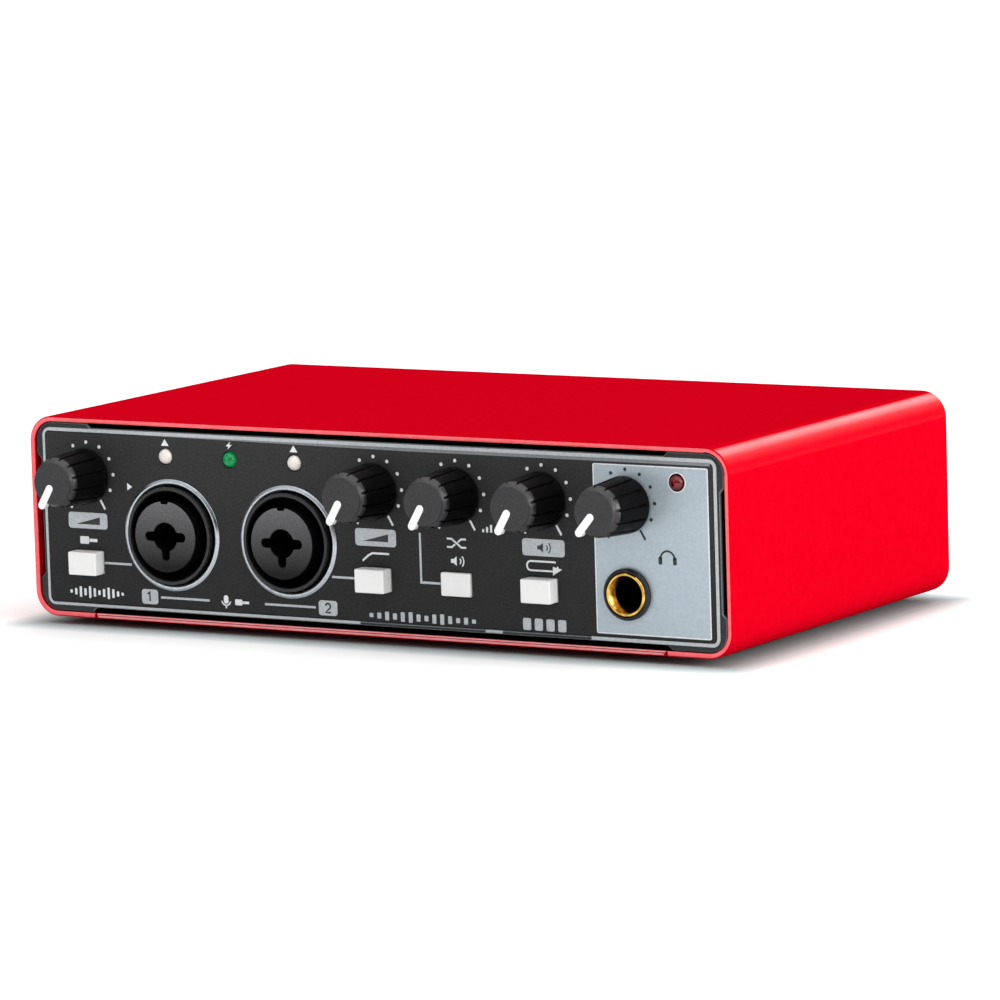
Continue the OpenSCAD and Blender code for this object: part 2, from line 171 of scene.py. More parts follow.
def shifted(points, d):
    """The closed outline moved sideways by d, to its right going round."""
    p = np.array(points, float)
    e = np.roll(p, -1, 0) - p
    e /= np.maximum(np.linalg.norm(e, axis=1), 1e-12)[:, None]
    n = np.stack([e[:, 1], -e[:, 0]], 1)
    m = n + np.roll(n, 1, 0)
    m /= np.maximum(1 + (n * np.roll(n, 1, 0)).sum(1), 0.3)[:, None]
    return [tuple(q) for q in p + m * d]


def turned(points):
    """The outline running anticlockwise."""
    area = sum(a[0] * b[1] - b[0] * a[1] for a, b in zip(points, points[1:] + points[:1]))
    return list(points) if area > 0 else list(points)[::-1]


def quarter_round(r, steps):
    """Insets and drops round an edge, from the side to the face. A sharp edge has one of each."""
    if not r:
        return [(0.0, 0.0)]
    turns = [math.pi / 2 * i / steps for i in range(steps + 1)]
    return [(r * (1 - math.cos(t)), r * (1 - math.sin(t))) for t in turns]


# ---- Meshes ----

# Printed marks: how far their undersides sink into the panel, and their tops above its face.
INK_LOW, INK_TOP = -0.02, 0.03
FLAT = on_front(0, 0)


def linked(name, data):
    """A new object in the scene."""
    made = bpy.data.objects.new(name, data)
    bpy.context.scene.collection.objects.link(made)
    return made


def weighted(obj, weight):
    """Smooth faces take their normals from the large flat faces beside them."""
    shade = obj.modifiers.new("shade", "WEIGHTED_NORMAL")
    shade.keep_sharp = True
    shade.weight = weight


class Build:
    """Collects faces in millimetres and makes one piece of them."""

    def __init__(self):
        self.bm = bmesh.new()

    def ring(self, points, w, to):
        return [self.bm.verts.new(to(u, v, w)) for u, v in points]

    def skin(self, a, b, material=0):
        """Joins two rings of the same count with quads, or a ring and a tip with triangles."""
        n = max(len(a), len(b))
        for i in range(n):
            k = (i + 1) % n
            if len(a) == len(b):
                corners = (a[i], a[k], b[k], b[i])
            elif len(a) == 1:
                corners = (b[i], b[k], a[0])
            else:
                corners = (a[i], a[k], b[0])
            face = self.bm.faces.new(corners)
            face.material_index = material

    def sleeve(self, rings, material=0, closed=False):
        """Joins each ring to the next, and the last to the first if closed."""
        following = rings[1:] + (rings[:1] if closed else [])
        for a, b in zip(rings, following):
            self.skin(a, b, material)

    def fill(self, rings):
        """Closes a flat outline with holes."""
        edges = []
        for ring in rings:
            for i, v in enumerate(ring):
                pair = (v, ring[(i + 1) % len(ring)])
                edges.append(self.bm.edges.get(pair) or self.bm.edges.new(pair))
        bmesh.ops.triangle_fill(self.bm, use_beauty=True, use_dissolve=False, edges=edges)

    def plate(self, outer, holes, w0, w1, to, edge=0.0, back=0.0, steps=3):
        """A slab from w0 to w1 with rounded front and back edges, holes included."""
        levels = [(inset, w0 + drop) for inset, drop in reversed(quarter_round(back, steps))]
        levels += [(inset, w1 - drop) for inset, drop in quarter_round(edge, steps)]
        fronts, backs = [], []
        for k, loop in enumerate([outer] + list(holes)):
            line = turned(loop) if k == 0 else turned(loop)[::-1]
            rings = [self.ring(shifted(line, -inset) if inset else line, w, to) for inset, w in levels]
            self.sleeve(rings)
            backs.append(rings[0])
            fronts.append(rings[-1])
        self.fill(fronts)
        self.fill(backs)

    def lathe(self, profile, to, steps=96, closed=False):
        """Turns a profile of (radius, w) round w. Points at radius 0 close it."""
        rings = [self.ring(circle(r, steps) if r > 1e-6 else [(0, 0)], w, to) for r, w in profile]
        self.sleeve(rings, closed=closed)

    def paint(self, material, inside):
        """Gives a material to the faces whose corners, in the casing's frame, all pass a test."""
        for face in self.bm.faces:
            if all(inside(*in_casing(v.co)) for v in face.verts):
                face.material_index = material

    def mark(self, outline, low=INK_LOW, top=INK_TOP):
        """A printed patch on the panel."""
        self.plate(outline, [], low, top, FLAT)

    def stroke(self, points, width, closed=False, low=INK_LOW, top=INK_TOP):
        """A printed line of that width on the panel."""
        p = np.array(points, float)
        count = len(p)
        offsets = []
        for i in range(count):
            before = p[i - 1] if closed or i > 0 else None
            after = p[(i + 1) % count] if closed or i < count - 1 else None
            normals = []
            for a, b in ((before, p[i]), (p[i], after)):
                if a is not None and b is not None:
                    e = (b - a) / max(np.linalg.norm(b - a), 1e-9)
                    normals.append(np.array([-e[1], e[0]]))
            m = sum(normals) / len(normals)
            offsets.append(m / max(m @ m, 0.3) * width / 2)
        left = [tuple(q) for q in p + offsets]
        right = [tuple(q) for q in p - offsets]
        if closed:
            self.plate(right, [left], low, top, FLAT)
        else:
            self.mark(left + right[::-1], low, top)

    def finish(self, name, materials, node=None, body="chassis", smooth=38, weight=True):
        """Makes the piece. It stands in for a CAD node; without one it is a print on the panel."""
        bmesh.ops.remove_doubles(self.bm, verts=self.bm.verts, dist=1e-8)
        bmesh.ops.recalc_face_normals(self.bm, faces=self.bm.faces)
        mesh = bpy.data.meshes.new(name)
        self.bm.to_mesh(mesh)
        self.bm.free()
        for m in materials if isinstance(materials, list) else [materials]:
            mesh.materials.append(m)
        mesh.polygons.foreach_set("use_smooth", [True] * len(mesh.polygons))
        mesh.set_sharp_from_angle(angle=math.radians(smooth))
        made = linked(name, mesh)
        if weight:
            weighted(made, 60)
        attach(made, body)
        if node:
            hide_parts(node)
        return made


# ---- Materials ----

def srgb(r, g, b):
    """A colour given as 0 to 255 screen values, as linear light."""
    out = []
    for c in (r, g, b):
        c = c / 255
        out.append(c / 12.92 if c <= 0.04045 else ((c + 0.055) / 1.055) ** 2.4)
    return (*out, 1.0)


def add(tree, kind, operation=None, **inputs):
    """A new shader node. inputs holds socket values, with _ for each space in a socket's name."""
    node = tree.nodes.new(kind)
    if operation:
        node.operation = operation
    for key, value in inputs.items():
        node.inputs[key.replace("_", " ")].default_value = value
    return node


def noise(tree, source, scale, detail):
    made = add(tree, "ShaderNodeTexNoise", Scale=scale, Detail=detail)
    tree.links.new(source, made.inputs["Vector"])
    return made.outputs["Fac"]


def ramp_of(tree, fac, *stops):
    """A colour ramp with (position, colour) stops, the first and the last of them its ends."""
    made = add(tree, "ShaderNodeValToRGB")
    elements = made.color_ramp.elements
    for element, (position, colour) in zip((elements[0], elements[1]), (stops[0], stops[-1])):
        element.position = position
        element.color = colour
    for position, colour in stops[1:-1]:
        elements.new(position).color = colour
    tree.links.new(fac, made.inputs["Fac"])
    return made.outputs["Color"]


def painted_shade_ramp(tree, source, tint, low, high, dark):
    """Painted shade: the colour times dark at height low, growing to itself at height high."""
    parts = add(tree, "ShaderNodeSeparateXYZ")
    height = add(tree, "ShaderNodeMapRange", From_Min=place(0, 0, low).z, From_Max=place(0, 0, high).z,
                 To_Min=dark)
    scale = add(tree, "ShaderNodeVectorMath", "SCALE")
    tree.links.new(source, parts.inputs["Vector"])
    tree.links.new(parts.outputs["Z"], height.inputs["Value"])
    tree.links.new(tint, scale.inputs[0])
    tree.links.new(height.outputs["Result"], scale.inputs["Scale"])
    return scale.outputs["Vector"]


# Sideways part of the normal where the shine of a bend starts, and where it is full.
BEND_START, BEND_FULL = 0.36, 0.56


def bend_mask(tree, normal, level):
    """Specular level of the upper bends: 0 on the flat faces, up to level where the bend faces sideways."""
    parts = add(tree, "ShaderNodeSeparateXYZ")
    side = add(tree, "ShaderNodeMath", "ABSOLUTE")
    start = add(tree, "ShaderNodeMapRange", From_Min=BEND_START, From_Max=BEND_FULL, To_Max=level)
    above = add(tree, "ShaderNodeMath", "MAXIMUM")
    above.inputs[1].default_value = 0.0
    scale = add(tree, "ShaderNodeMath", "MULTIPLY")
    tree.links.new(normal, parts.inputs["Vector"])
    tree.links.new(parts.outputs["X"], side.inputs[0])
    tree.links.new(side.outputs["Value"], start.inputs["Value"])
    tree.links.new(parts.outputs["Z"], above.inputs[0])
    tree.links.new(start.outputs["Result"], scale.inputs[0])
    tree.links.new(above.outputs["Value"], scale.inputs[1])
    return scale.outputs["Value"]


def finish_of(name, colour, other, rough, rough_more=0.06, grain=900.0, bump=0.0, bump_grain=2500.0,
              stretch=None, shade=None, bend_shine=0.0, specular=0.5, **fixed):
    """A surface whose colour, roughness and relief all vary with fine noise. fixed holds shader inputs.

    colour and other are 0 to 255 screen values. shade is (low, high, dark), a painted shade: heights in the
    casing's frame between which the colour grows from dark times itself to itself. bend_shine is the
    specular level where the sheet is bent; its flat faces stay dull.
    """
    m = bpy.data.materials.new(name)
    m.use_nodes = True
    tree = m.node_tree
    shader = tree.nodes["Principled BSDF"]
    where = add(tree, "ShaderNodeTexCoord")
    source = where.outputs["Object"]
    if stretch:
        scaled = add(tree, "ShaderNodeMapping", Scale=stretch)
        tree.links.new(source, scaled.inputs["Vector"])
        source = scaled.outputs["Vector"]
    fine = noise(tree, source, grain, 4.0)
    tint = ramp_of(tree, fine, (0.3, srgb(*other)), (0.7, srgb(*colour)))
    if shade:
        tint = painted_shade_ramp(tree, where.outputs["Object"], tint, *shade)
    tree.links.new(tint, shader.inputs["Base Color"])
    wide = noise(tree, source, grain * 0.12, 3.0)
    low, high = max(rough - rough_more, 0.02), rough + rough_more
    spread = add(tree, "ShaderNodeMapRange", From_Min=0.3, From_Max=0.7, To_Min=low, To_Max=high)
    tree.links.new(wide, spread.inputs["Value"])
    tree.links.new(spread.outputs["Result"], shader.inputs["Roughness"])
    if bump:
        push = add(tree, "ShaderNodeBump", Strength=bump, Distance=0.0001)
        tree.links.new(noise(tree, source, bump_grain, 2.0), push.inputs["Height"])
        tree.links.new(push.outputs["Normal"], shader.inputs["Normal"])
    shader.inputs["Specular IOR Level"].default_value = specular
    if bend_shine:
        mask = bend_mask(tree, where.outputs["Normal"], bend_shine)
        tree.links.new(mask, shader.inputs["Specular IOR Level"])
    for key, value in fixed.items():
        shader.inputs[key.replace("_", " ")].default_value = value
    return m


def metal_of(name, colour, other, rough, **more):
    return finish_of(name, colour, other, rough, Metallic=1.0, **more)


def paint_of(name, colour, other, rough, **more):
    return finish_of(name, colour, other, rough, 0.03, 600, 0.05, 1800, **more)


# Painted shade: the top face is darkened to 0.86 of the paint's colour.
CASE_RED = paint_of("casing_paint", (190, 2, 24), (184, 1, 21), 0.3, shade=(45.1, 43.4, 0.86),
                    bend_shine=0.14, Specular_Tint=(1.0, 0.3, 0.32, 1.0))
# Painted highlight: the pink front edge of the cover.
CASE_RIM_HIGHLIGHT = paint_of("casing_edge_painted_highlight", (255, 112, 118), (250, 94, 100), 0.24, specular=0.3)
# Painted highlight: the whiter pink front edge of the bottom plate.
CASE_RIM_HIGHLIGHT_LOW = paint_of("casing_low_edge_painted_highlight", (255, 158, 161), (250, 138, 142), 0.24, specular=0.3)
# Painted shade: the dark inner rounding of the sheet's front edge.
CASE_LIP_SHADE = paint_of("casing_lip_painted_shade", (104, 12, 18), (88, 8, 14), 0.4, specular=0.1)
# Painted shade: the near-black inner faces of the sheet.
CASE_INNER_SHADE = finish_of("casing_inside_painted_shade", (16, 16, 17), (11, 11, 12), 0.7, 0.05, 900, specular=0.1)
BEZEL = finish_of("bezel_plastic", (38, 42, 43), (28, 32, 33), 0.32, 0.05, 1500, 0.12, 3500, specular=0.3)
# Painted highlight: the lighter rounded front edge of the bezel.
BEZEL_EDGE_HIGHLIGHT = finish_of("bezel_edge", (112, 117, 119), (96, 101, 103), 0.3, 0.05, 1500, 0.1, 3500)
# Painted shade: the panel darkened towards the bottom.
PANEL = finish_of("panel_paint_painted_shade", (59, 59, 60), (46, 46, 47), 0.5, 0.05, 2200, 0.12, 4000,
                  shade=(12, 43, 0.72), specular=0.1)
INLAY = finish_of("inlay_foil", (178, 190, 198), (166, 179, 188), 0.38, 0.05, 1800, 0.05, 3000,
                  Metallic=0.35)
INK_SILVER = finish_of("silver_ink", (190, 195, 198), (172, 177, 181), 0.4, 0.05, 1500, Metallic=0.3)
# Painted highlight: the grey band under the top border line.
GREY_BAND_HIGHLIGHT = finish_of("grey_band_painted_highlight", (128, 132, 134), (112, 116, 118), 0.4, 0.05, 1500)
INK_WHITE = finish_of("white_ink", (236, 238, 240), (216, 218, 220), 0.5, 0.05, 1500)
INK_DARK = finish_of("dark_ink", (38, 40, 42), (26, 28, 30), 0.5, 0.05, 1500)
KNOB = finish_of("knob_rubber", (11, 11, 12), (7, 7, 8), 0.42, 0.06, 2600, 0.12, 4500, specular=0.04)
KNOB_CAP = finish_of("knob_cap", (56, 55, 57), (43, 42, 44), 0.5, 0.05, 2600, 0.25, 4200, specular=0.3)
KNOB_RIM = finish_of("knob_collar", (30, 29, 31), (21, 20, 22), 0.32, 0.05, 2600, 0.1, 4200)
WHITE = finish_of("white_plastic", (243, 243, 242), (240, 240, 239), 0.36, 0.03, 700, 0.02, 1500,
                  Subsurface_Weight=0.08, Subsurface_Radius=(0.001, 0.001, 0.001))
SOCKET = finish_of("socket_plastic", (18, 18, 19), (12, 12, 13), 0.3, 0.05, 1500, 0.06, 3500)
# Painted shade: the near-black walls and cavities of the inserts.
CAVITY_SHADE = finish_of("socket_inside_painted_shade", (8, 8, 9), (5, 5, 6), 0.6, 0.05, 1500, specular=0.06)
# Painted sheen and shade: the insert bright at the top and nearly black at the bottom.
INSERT = finish_of("insert_plastic_painted_sheen", (108, 108, 110), (88, 88, 90), 0.42, 0.06, 2400, 0.15, 4200,
                   shade=(13, 27, 0.04), specular=0.15)
SILVER = metal_of("bright_ring", (190, 196, 202), (170, 176, 182), 0.24, grain=1200)
GOLD = metal_of("gold_plate", (240, 202, 108), (150, 104, 40), 0.15, grain=520, bump=0.05)
CONTACT = metal_of("contact_bronze", (74, 58, 36), (56, 43, 26), 0.55, grain=1000)
NUT_BLACK = finish_of("black_nickel", (34, 34, 36), (24, 24, 26), 0.28, 0.04, 1400, Metallic=0.4)
STEEL = metal_of("zinc_steel", (188, 190, 193), (164, 166, 170), 0.32, grain=1500, bump=0.1)
REAR = finish_of("rear_paint", (48, 48, 50), (36, 36, 38), 0.5, 0.05, 2000, 0.3, 3200)
RUBBER = finish_of("foot_rubber", (28, 28, 29), (18, 18, 19), 0.75, 0.06, 1600, 0.3, 2600)
BOARD = finish_of("board_lacquer", (16, 92, 46), (10, 72, 36), 0.3, 0.05, 500)
CHIP = finish_of("chip_resin", (34, 34, 36), (26, 26, 28), 0.6, 0.05, 1800)
SLEEVE = finish_of("capacitor_sleeve", (22, 30, 58), (14, 20, 44), 0.35, 0.05, 900)
POT = metal_of("pot_steel", (150, 153, 158), (126, 129, 134), 0.38, grain=1500)
NYLON = finish_of("nylon", (232, 230, 222), (218, 216, 207), 0.5, 0.05, 900)
ALLOY = metal_of("shaft_alloy", (196, 198, 202), (176, 178, 182), 0.3, grain=900, stretch=(1, 0.1, 1))
LAMP_WHITE = finish_of("lamp_white", (232, 228, 220), (218, 213, 204), 0.22, 0.04, 1800,
                       Coat_Weight=0.5, Coat_Roughness=0.08, Subsurface_Weight=0.2,
                       Subsurface_Radius=(0.001, 0.001, 0.001))
LAMP_GREEN = finish_of("lamp_green", (0, 150, 78), (0, 84, 44), 0.2, 0.04, 1400, 0.8, 1300,
                       specular=0.35, Emission_Color=srgb(0, 190, 96), Emission_Strength=0.12)
LAMP_RED = finish_of("lamp_red", (112, 2, 10), (66, 0, 5), 0.1, 0.03, 900, 0.08, 1300)


# ---- Casing ----

def cover_outline():
    """Front view of the bent cover as one closed line: outside round, then back inside."""
    a, b, lip = CASE_W / 2 - BEND_R, CASE_H - BEND_R, CASE_W / 2 - FLANGE
    bends = [(a, BEND_R, -90), (a, b, 0), (-a, b, 90), (-a, BEND_R, 180)]
    outer = [p for x, z, t in bends for p in arc(x, z, BEND_R, t, t + 90, 14)]
    inner = [p for x, z, t in bends for p in arc(x, z, BEND_R - SHEET, t, t + 90, 14)]
    return [(lip, 0)] + outer + [(-lip, 0), (-lip, SHEET)] + inner[::-1] + [(lip, SHEET)]


HEAD_R, REAR_HEAD_R, THREAD_R = 2.5, 2.7, 1.3
SCREW_X = span("cover_screws")[1].x - HEAD_R
SCREW_Y = [8, CASE_D / 2, CASE_D - 8]
REAR_SCREW_X = span("rear_screws")[1].x - REAR_HEAD_R
REAR_SCREW_Z = span("rear_screws")[1].z - REAR_HEAD_R


def drill(obj, cutter):
    """Takes the cutter's shape out of obj."""
    cutter.bm.normal_update()
    bmesh.ops.recalc_face_normals(cutter.bm, faces=cutter.bm.faces)
    mesh = bpy.data.meshes.new("drill")
    cutter.bm.to_mesh(mesh)
    cutter.bm.free()
    tool = linked("drill", mesh)
    cut = obj.modifiers.new("holes", "BOOLEAN")
    cut.operation = "DIFFERENCE"
    cut.solver = "EXACT"
    cut.object = tool
    bpy.context.view_layer.update()
    done = bpy.data.meshes.new_from_object(obj.evaluated_get(bpy.context.evaluated_depsgraph_get()))
    obj.modifiers.clear()
    obj.data = done
    bpy.data.objects.remove(tool)
    done.set_sharp_from_angle(angle=math.radians(38))
    weighted(obj, 50)


def sunk(x, z):
    """How far a point of the casing's front view lies inside its outline."""
    over_x = abs(x) - CASE_W / 2 + BEND_R
    over_z = abs(z - CASE_H / 2) - CASE_H / 2 + BEND_R
    return BEND_R - math.hypot(max(over_x, 0), max(over_z, 0)) - min(max(over_x, over_z), 0)


# Rounding of the sheet's cut edges, and the places in a piece's list of the sheet's painted edge highlight,
# painted inner shade and painted lip shade.
RIM = 0.45
EDGE_HIGHLIGHT, INNER_SHADE, LIP_SHADE = 1, 2, 3


def on_rim_highlight(x, y, z):
    """The sheet's front edge, which gets a painted highlight: its flat face and the inner part of its outer
    rounding.
    """
    return y < RIM + 0.01 and sunk(x, z) > 0.6 * RIM


def on_lip_shade(x, y, z):
    """Painted shade on the inner rounding of the sheet's front edge, less of it at the left and below,
    where it is lit.
    """
    lit = z < BEND_R or x < BEND_R - CASE_W / 2
    return y < RIM + 0.01 and sunk(x, z) > SHEET - (0.2 if lit else 0.7) * RIM


def on_inner_shade(x, y, z):
    """Painted shade on the sheet's inner face, all but the left side's, which stays red."""
    return sunk(x, z) > SHEET - 0.02 and y > RIM - 0.01 and x > BEND_R - CASE_W / 2


def make_cover():
    b = Build()
    b.plate(cover_outline(), [], 0, CASE_D, along_y, RIM, RIM, 4)
    # Painted highlight on the sheet's front edge; painted shade on its inner rounding and inner faces.
    b.paint(EDGE_HIGHLIGHT, on_rim_highlight)
    b.paint(LIP_SHADE, on_lip_shade)
    b.paint(INNER_SHADE, on_inner_shade)
    inner, outer = REAR_SCREW_X - 4.9, CASE_W / 2 - SHEET + 0.2
    for side in (-1, 1):
        for z in (CASE_H - REAR_SCREW_Z, REAR_SCREW_Z):
            tab = round_rect(outer - inner, 8, 1, 4, side * (inner + outer) / 2, z)
            b.plate(tab, [], REAR_Y - 2 * SHEET - 0.1, REAR_Y - SHEET - 0.1, along_y, 0.15, 0.15)
    cover = b.finish("casing_cover", [CASE_RED, CASE_RIM_HIGHLIGHT, CASE_INNER_SHADE, CASE_LIP_SHADE], "top_cover", weight=False)
    holes = Build()
    for side in (-1, 1):
        for y in SCREW_Y:
            cone = [(0, -1), (3.6, -1), (2.6, 0), (THREAD_R, 1.1), (THREAD_R, 2.4), (0, 2.4)]
            holes.lathe(cone, standing_up(side * SCREW_X, y), 32)
    drill(cover, holes)


make_cover()


def solids(node):
    """Centre and size of each separate solid of a CAD node, in the casing's frame."""
    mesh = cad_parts[node].data
    points = [tuple(round(c, 6) for c in v.co) for v in mesh.vertices]
    group = {p: p for p in points}

    def root(p):
        while group[p] != p:
            group[p] = group[group[p]]
            p = group[p]
        return p

    for face in mesh.polygons:
        first = root(points[face.vertices[0]])
        for i in face.vertices[1:]:
            group[root(points[i])] = first
    found = {}
    for p in group:
        found.setdefault(root(p), []).append(p)
    shift = np.array([0, CASE_LOW.y, CASE_LOW.z])
    boxes = []
    for members in found.values():
        q = (np.array(members) - shift) / MM
        boxes.append(((q.min(0) + q.max(0)) / 2, q.max(0) - q.min(0)))
    return sorted(boxes, key=lambda box: tuple(np.round(box[0], 2)))


def make_bottom():
    width = CASE_W - 2 * FLANGE - 0.6
    b = Build()
    b.plate(round_rect(width, SHEET, 0.12, 3, 0, SHEET / 2), [], 0, CASE_D, along_y, RIM, RIM, 4)
    # Painted highlight on the sheet's front edge; painted shade on its inner rounding and top face.
    b.paint(EDGE_HIGHLIGHT, on_rim_highlight)
    b.paint(LIP_SHADE, on_lip_shade)
    b.paint(INNER_SHADE, lambda x, y, z: z > SHEET - 0.02 and y > RIM - 0.01)
    wing_in, wing_out = CASE_W / 2 - FLANGE - 2, CASE_W / 2 - BEND_R - 0.7
    for side in (-1, 1):
        across = side * (wing_in + wing_out) / 2
        wing = round_rect(wing_out - wing_in, SHEET - 0.04, 0.2, 3, across, 1.5 * SHEET + 0.02)
        b.plate(wing, [], 13, REAR_Y - 5, along_y, 0.2, 0.2)
    fold = round_rect(120, 4, 0.5, 3, 0, 2)
    b.plate(fold, [], REAR_Y - 4 * SHEET, REAR_Y - 3 * SHEET, along_y, 0.2, 0.2)
    looks = [CASE_RED, CASE_RIM_HIGHLIGHT_LOW, CASE_INNER_SHADE, CASE_LIP_SHADE]
    plate = b.finish("bottom_plate_sheet", looks, "bottom_plate", weight=False)
    holes = Build()
    for (x, y, _), _ in solids("board_posts"):
        holes.lathe([(0, -1), (1.6, -1), (1.6, 3), (0, 3)], standing_up(x, y), 32)
    for side in (-1, 1):
        bore = [(0, 0.5), (THREAD_R, 0.5), (THREAD_R, 3), (0, 3)]
        holes.lathe(bore, standing_up(side * SCREW_X, SCREW_Y[1]), 32)
    drill(plate, holes)


make_bottom()


def make_feet():
    b = Build()
    for (x, y, z), size in solids("rubber_feet"):
        r, low = size[0] / 2, z - size[2] / 2
        profile = [(0, low), (r - 0.6, low), (r, low + 0.6), (r, 0), (0, 0)]
        b.lathe(eased(profile, 0.35, 4, closed=False), standing_up(x, y), 64)
    b.finish("feet", RUBBER, "rubber_feet")


make_feet()

# ---- Front ----

BEZEL_W, _, BEZEL_H = size_of("front_bezel")
PANEL_W, PANEL_T, PANEL_H = size_of("front_panel")
WINDOW_W, WINDOW_H = PANEL_W + 0.2, PANEL_H + 0.2
PAD_W, PAD_H, CUT_BACK, BEZEL_DEPTH = 15, 8.6, 1.0, 6.5


def bezel_outline():
    """Round rectangle whose four sides are cut back between the corner pads."""
    a, b = BEZEL_W / 2, BEZEL_H / 2
    r = BEND_R - SHEET - 0.2
    edge_x, edge_z = CASE_W / 2 - PAD_W, CASE_H / 2 - PAD_H
    out = []
    quarter = arc(a - r, b - r, r, 0, 90, 10)
    side = [(a - CUT_BACK, edge_z - CUT_BACK), (a, edge_z)]
    top = [(edge_x, b), (edge_x - CUT_BACK, b - CUT_BACK)]
    one = side + quarter + top
    for sx, sy in ((1, 1), (-1, 1), (-1, -1), (1, -1)):
        part = [(sx * x, sy * y) for x, y in one]
        out += part if sx * sy > 0 else part[::-1]
    return eased([(x, y + MID_Z) for x, y in out], 0.4, 3)


def make_bezel():
    b = Build()
    window = round_rect(WINDOW_W, WINDOW_H, 1, 6, 0, MID_Z)
    ledge = round_rect(WINDOW_W - 3, WINDOW_H - 3, 1, 6, 0, MID_Z)
    to = on_front(0, 0)
    b.plate(bezel_outline(), [window], -PANEL_T, 0, to, 0.45, 0, 4)
    b.plate(bezel_outline(), [ledge], -BEZEL_DEPTH, -PANEL_T, to, 0, 0.2)
    for side in (-1, 1):
        tab = round_rect(7, 5, 0.4, 3, side * SCREW_X, SHEET + 2.5)
        b.plate(tab, [], PANEL_Y - SCREW_Y[0] - 3, -PANEL_T, to, 0, 0.2)
    # Painted highlight on the bezel's rounded front edge.
    b.paint(1, lambda x, y, z: PANEL_Y + 0.01 < y < PANEL_Y + 0.46)
    b.finish("bezel", [BEZEL, BEZEL_EDGE_HIGHLIGHT], "front_bezel")


make_bezel()

LAMP_R = 1.7
LAMPS = {"peak_left": LAMP_WHITE, "phantom": LAMP_GREEN, "peak_right": LAMP_WHITE, "power": LAMP_RED}
RING_IN = 11.2
SHAFT_HOLE_R, BUSH_HOLE_R, BUSH_R, NUT_HOLE_R = 3.8, 4.95, 4.8, 4.9
BUTTON_W, BUTTON_H, BUTTON_GAP = 7.4, 5.2, 0.25


def button_window(x, z):
    return round_rect(BUTTON_W + 2 * BUTTON_GAP, BUTTON_H + 2 * BUTTON_GAP, 0.6, 5, x, z)


def make_panel():
    holes = [circle(SHAFT_HOLE_R, 48, *middle("knob_" + k)) for k in KNOBS]
    holes += [circle(RING_IN, 96, *middle("combo_ring_" + k)) for k in SIDES]
    holes += [circle(LAMP_R + 0.15, 40, *middle("lamp_" + k)) for k in LAMPS]
    holes.append(circle(BUSH_HOLE_R, 64, *middle("phones_bush")))
    holes += [button_window(*middle("button_" + k)) for k in BUTTONS]
    b = Build()
    b.plate(round_rect(PANEL_W, PANEL_H, 0.9, 6, 0, MID_Z), holes, -PANEL_T, 0, on_front(0, 0), 0.12, 0, 3)
    b.finish("panel", PANEL, "front_panel")


make_panel()

# ---- Knobs ----

KNOB_R, NECK_R, CAP_R, KNOB_GAP, SHOULDER, BORE_R = 6.2, 5.55, 4.75, 0.6, 1.9, 3.0
GROOVES, GROOVE_DEPTH, GROOVE_SPAN = 12, 0.42, 0.42
GRIP, COLLAR, CAP = 0, 1, 2
POINTER_TURN = {k: 230 if k == "phones" else 240 for k in KNOBS}
POINTER_W, POINTER_IN, POINTER_OUT, POINTER_SIDE = 1.75, 1.35, 5.7, 1.4


def groove_angles(pointer_turn):
    """Directions round a knob, close together at the grooves, and how deep the groove is there."""
    out = []
    arcs = [(-GROOVE_SPAN, 0.0), (-0.33, 0.12), (-0.26, 0.55), (-0.2, 0.9), (-0.12, 1.0), (0.0, 1.0)]
    arcs += [(-a, d) for a, d in reversed(arcs[:-1])]
    pitch = math.tau / GROOVES
    clear = GROOVE_SPAN / KNOB_R
    rest = pitch - 2 * clear
    for g in range(GROOVES):
        centre = math.radians(pointer_turn) + (g + 0.5) * pitch
        out += [(centre + a / KNOB_R, d) for a, d in arcs]
        out += [(centre + clear + rest * k / 9, 0.0) for k in range(1, 9)]
    return out


def make_knob(name):
    node = "knob_" + name
    reach = proud(node)
    foot, top = KNOB_GAP, reach - SHOULDER
    angles = groove_angles(POINTER_TURN[name])
    to = on_front(*middle(node))
    b = Build()

    def ring(r, w, grooved=False):
        floor = max(KNOB_R - GROOVE_DEPTH - (KNOB_R - NECK_R) * (w - foot) / (top - foot), 0)
        deep = min(r, floor) if grooved else r
        return b.ring([polar(r + (deep - r) * depth, turn) for turn, depth in angles], w, to)

    skirt = foot + 1.5
    side = [ring(KNOB_R - 0.25, foot), ring(KNOB_R, foot + 0.25), ring(KNOB_R, foot + 1.1)]
    for i in range(7):
        t = i / 6
        w = skirt + (top - skirt) * t - (0.1 if i == 6 else 0)
        side.append(ring(KNOB_R - 0.02 + (NECK_R - KNOB_R + 0.02) * t, w, True))
    b.sleeve(side, GRIP)
    collar = []
    for i in range(5):
        t = i / 4
        bulge = 0.12 * math.sin(math.pi * t)
        r = NECK_R - 0.06 + (CAP_R + 0.12 - NECK_R) * t + bulge
        collar.append(ring(r, top + 0.08 + 1.12 * t, True))
    collar.append(ring(CAP_R, reach - 0.6))
    b.sleeve([side[-1]] + collar, COLLAR)
    dish = [(CAP_R, 0.3), (CAP_R - 0.06, 0.13), (CAP_R - 0.2, 0.03), (CAP_R - 0.4, 0), (CAP_R - 0.75, 0.05),
            (1.5, 0.06)]
    cap = [ring(r, reach - drop) for r, drop in dish]
    b.sleeve([collar[-1]] + cap, CAP)
    face = b.bm.faces.new(cap[-1])
    face.material_index = CAP
    bore = [ring(BORE_R, foot), ring(BORE_R, 10)]
    b.sleeve([side[0]] + bore, GRIP)
    b.bm.faces.new(bore[-1])
    b.finish("grip_" + name, [KNOB, KNOB_RIM, KNOB_CAP], node, name + "_knob", 32)


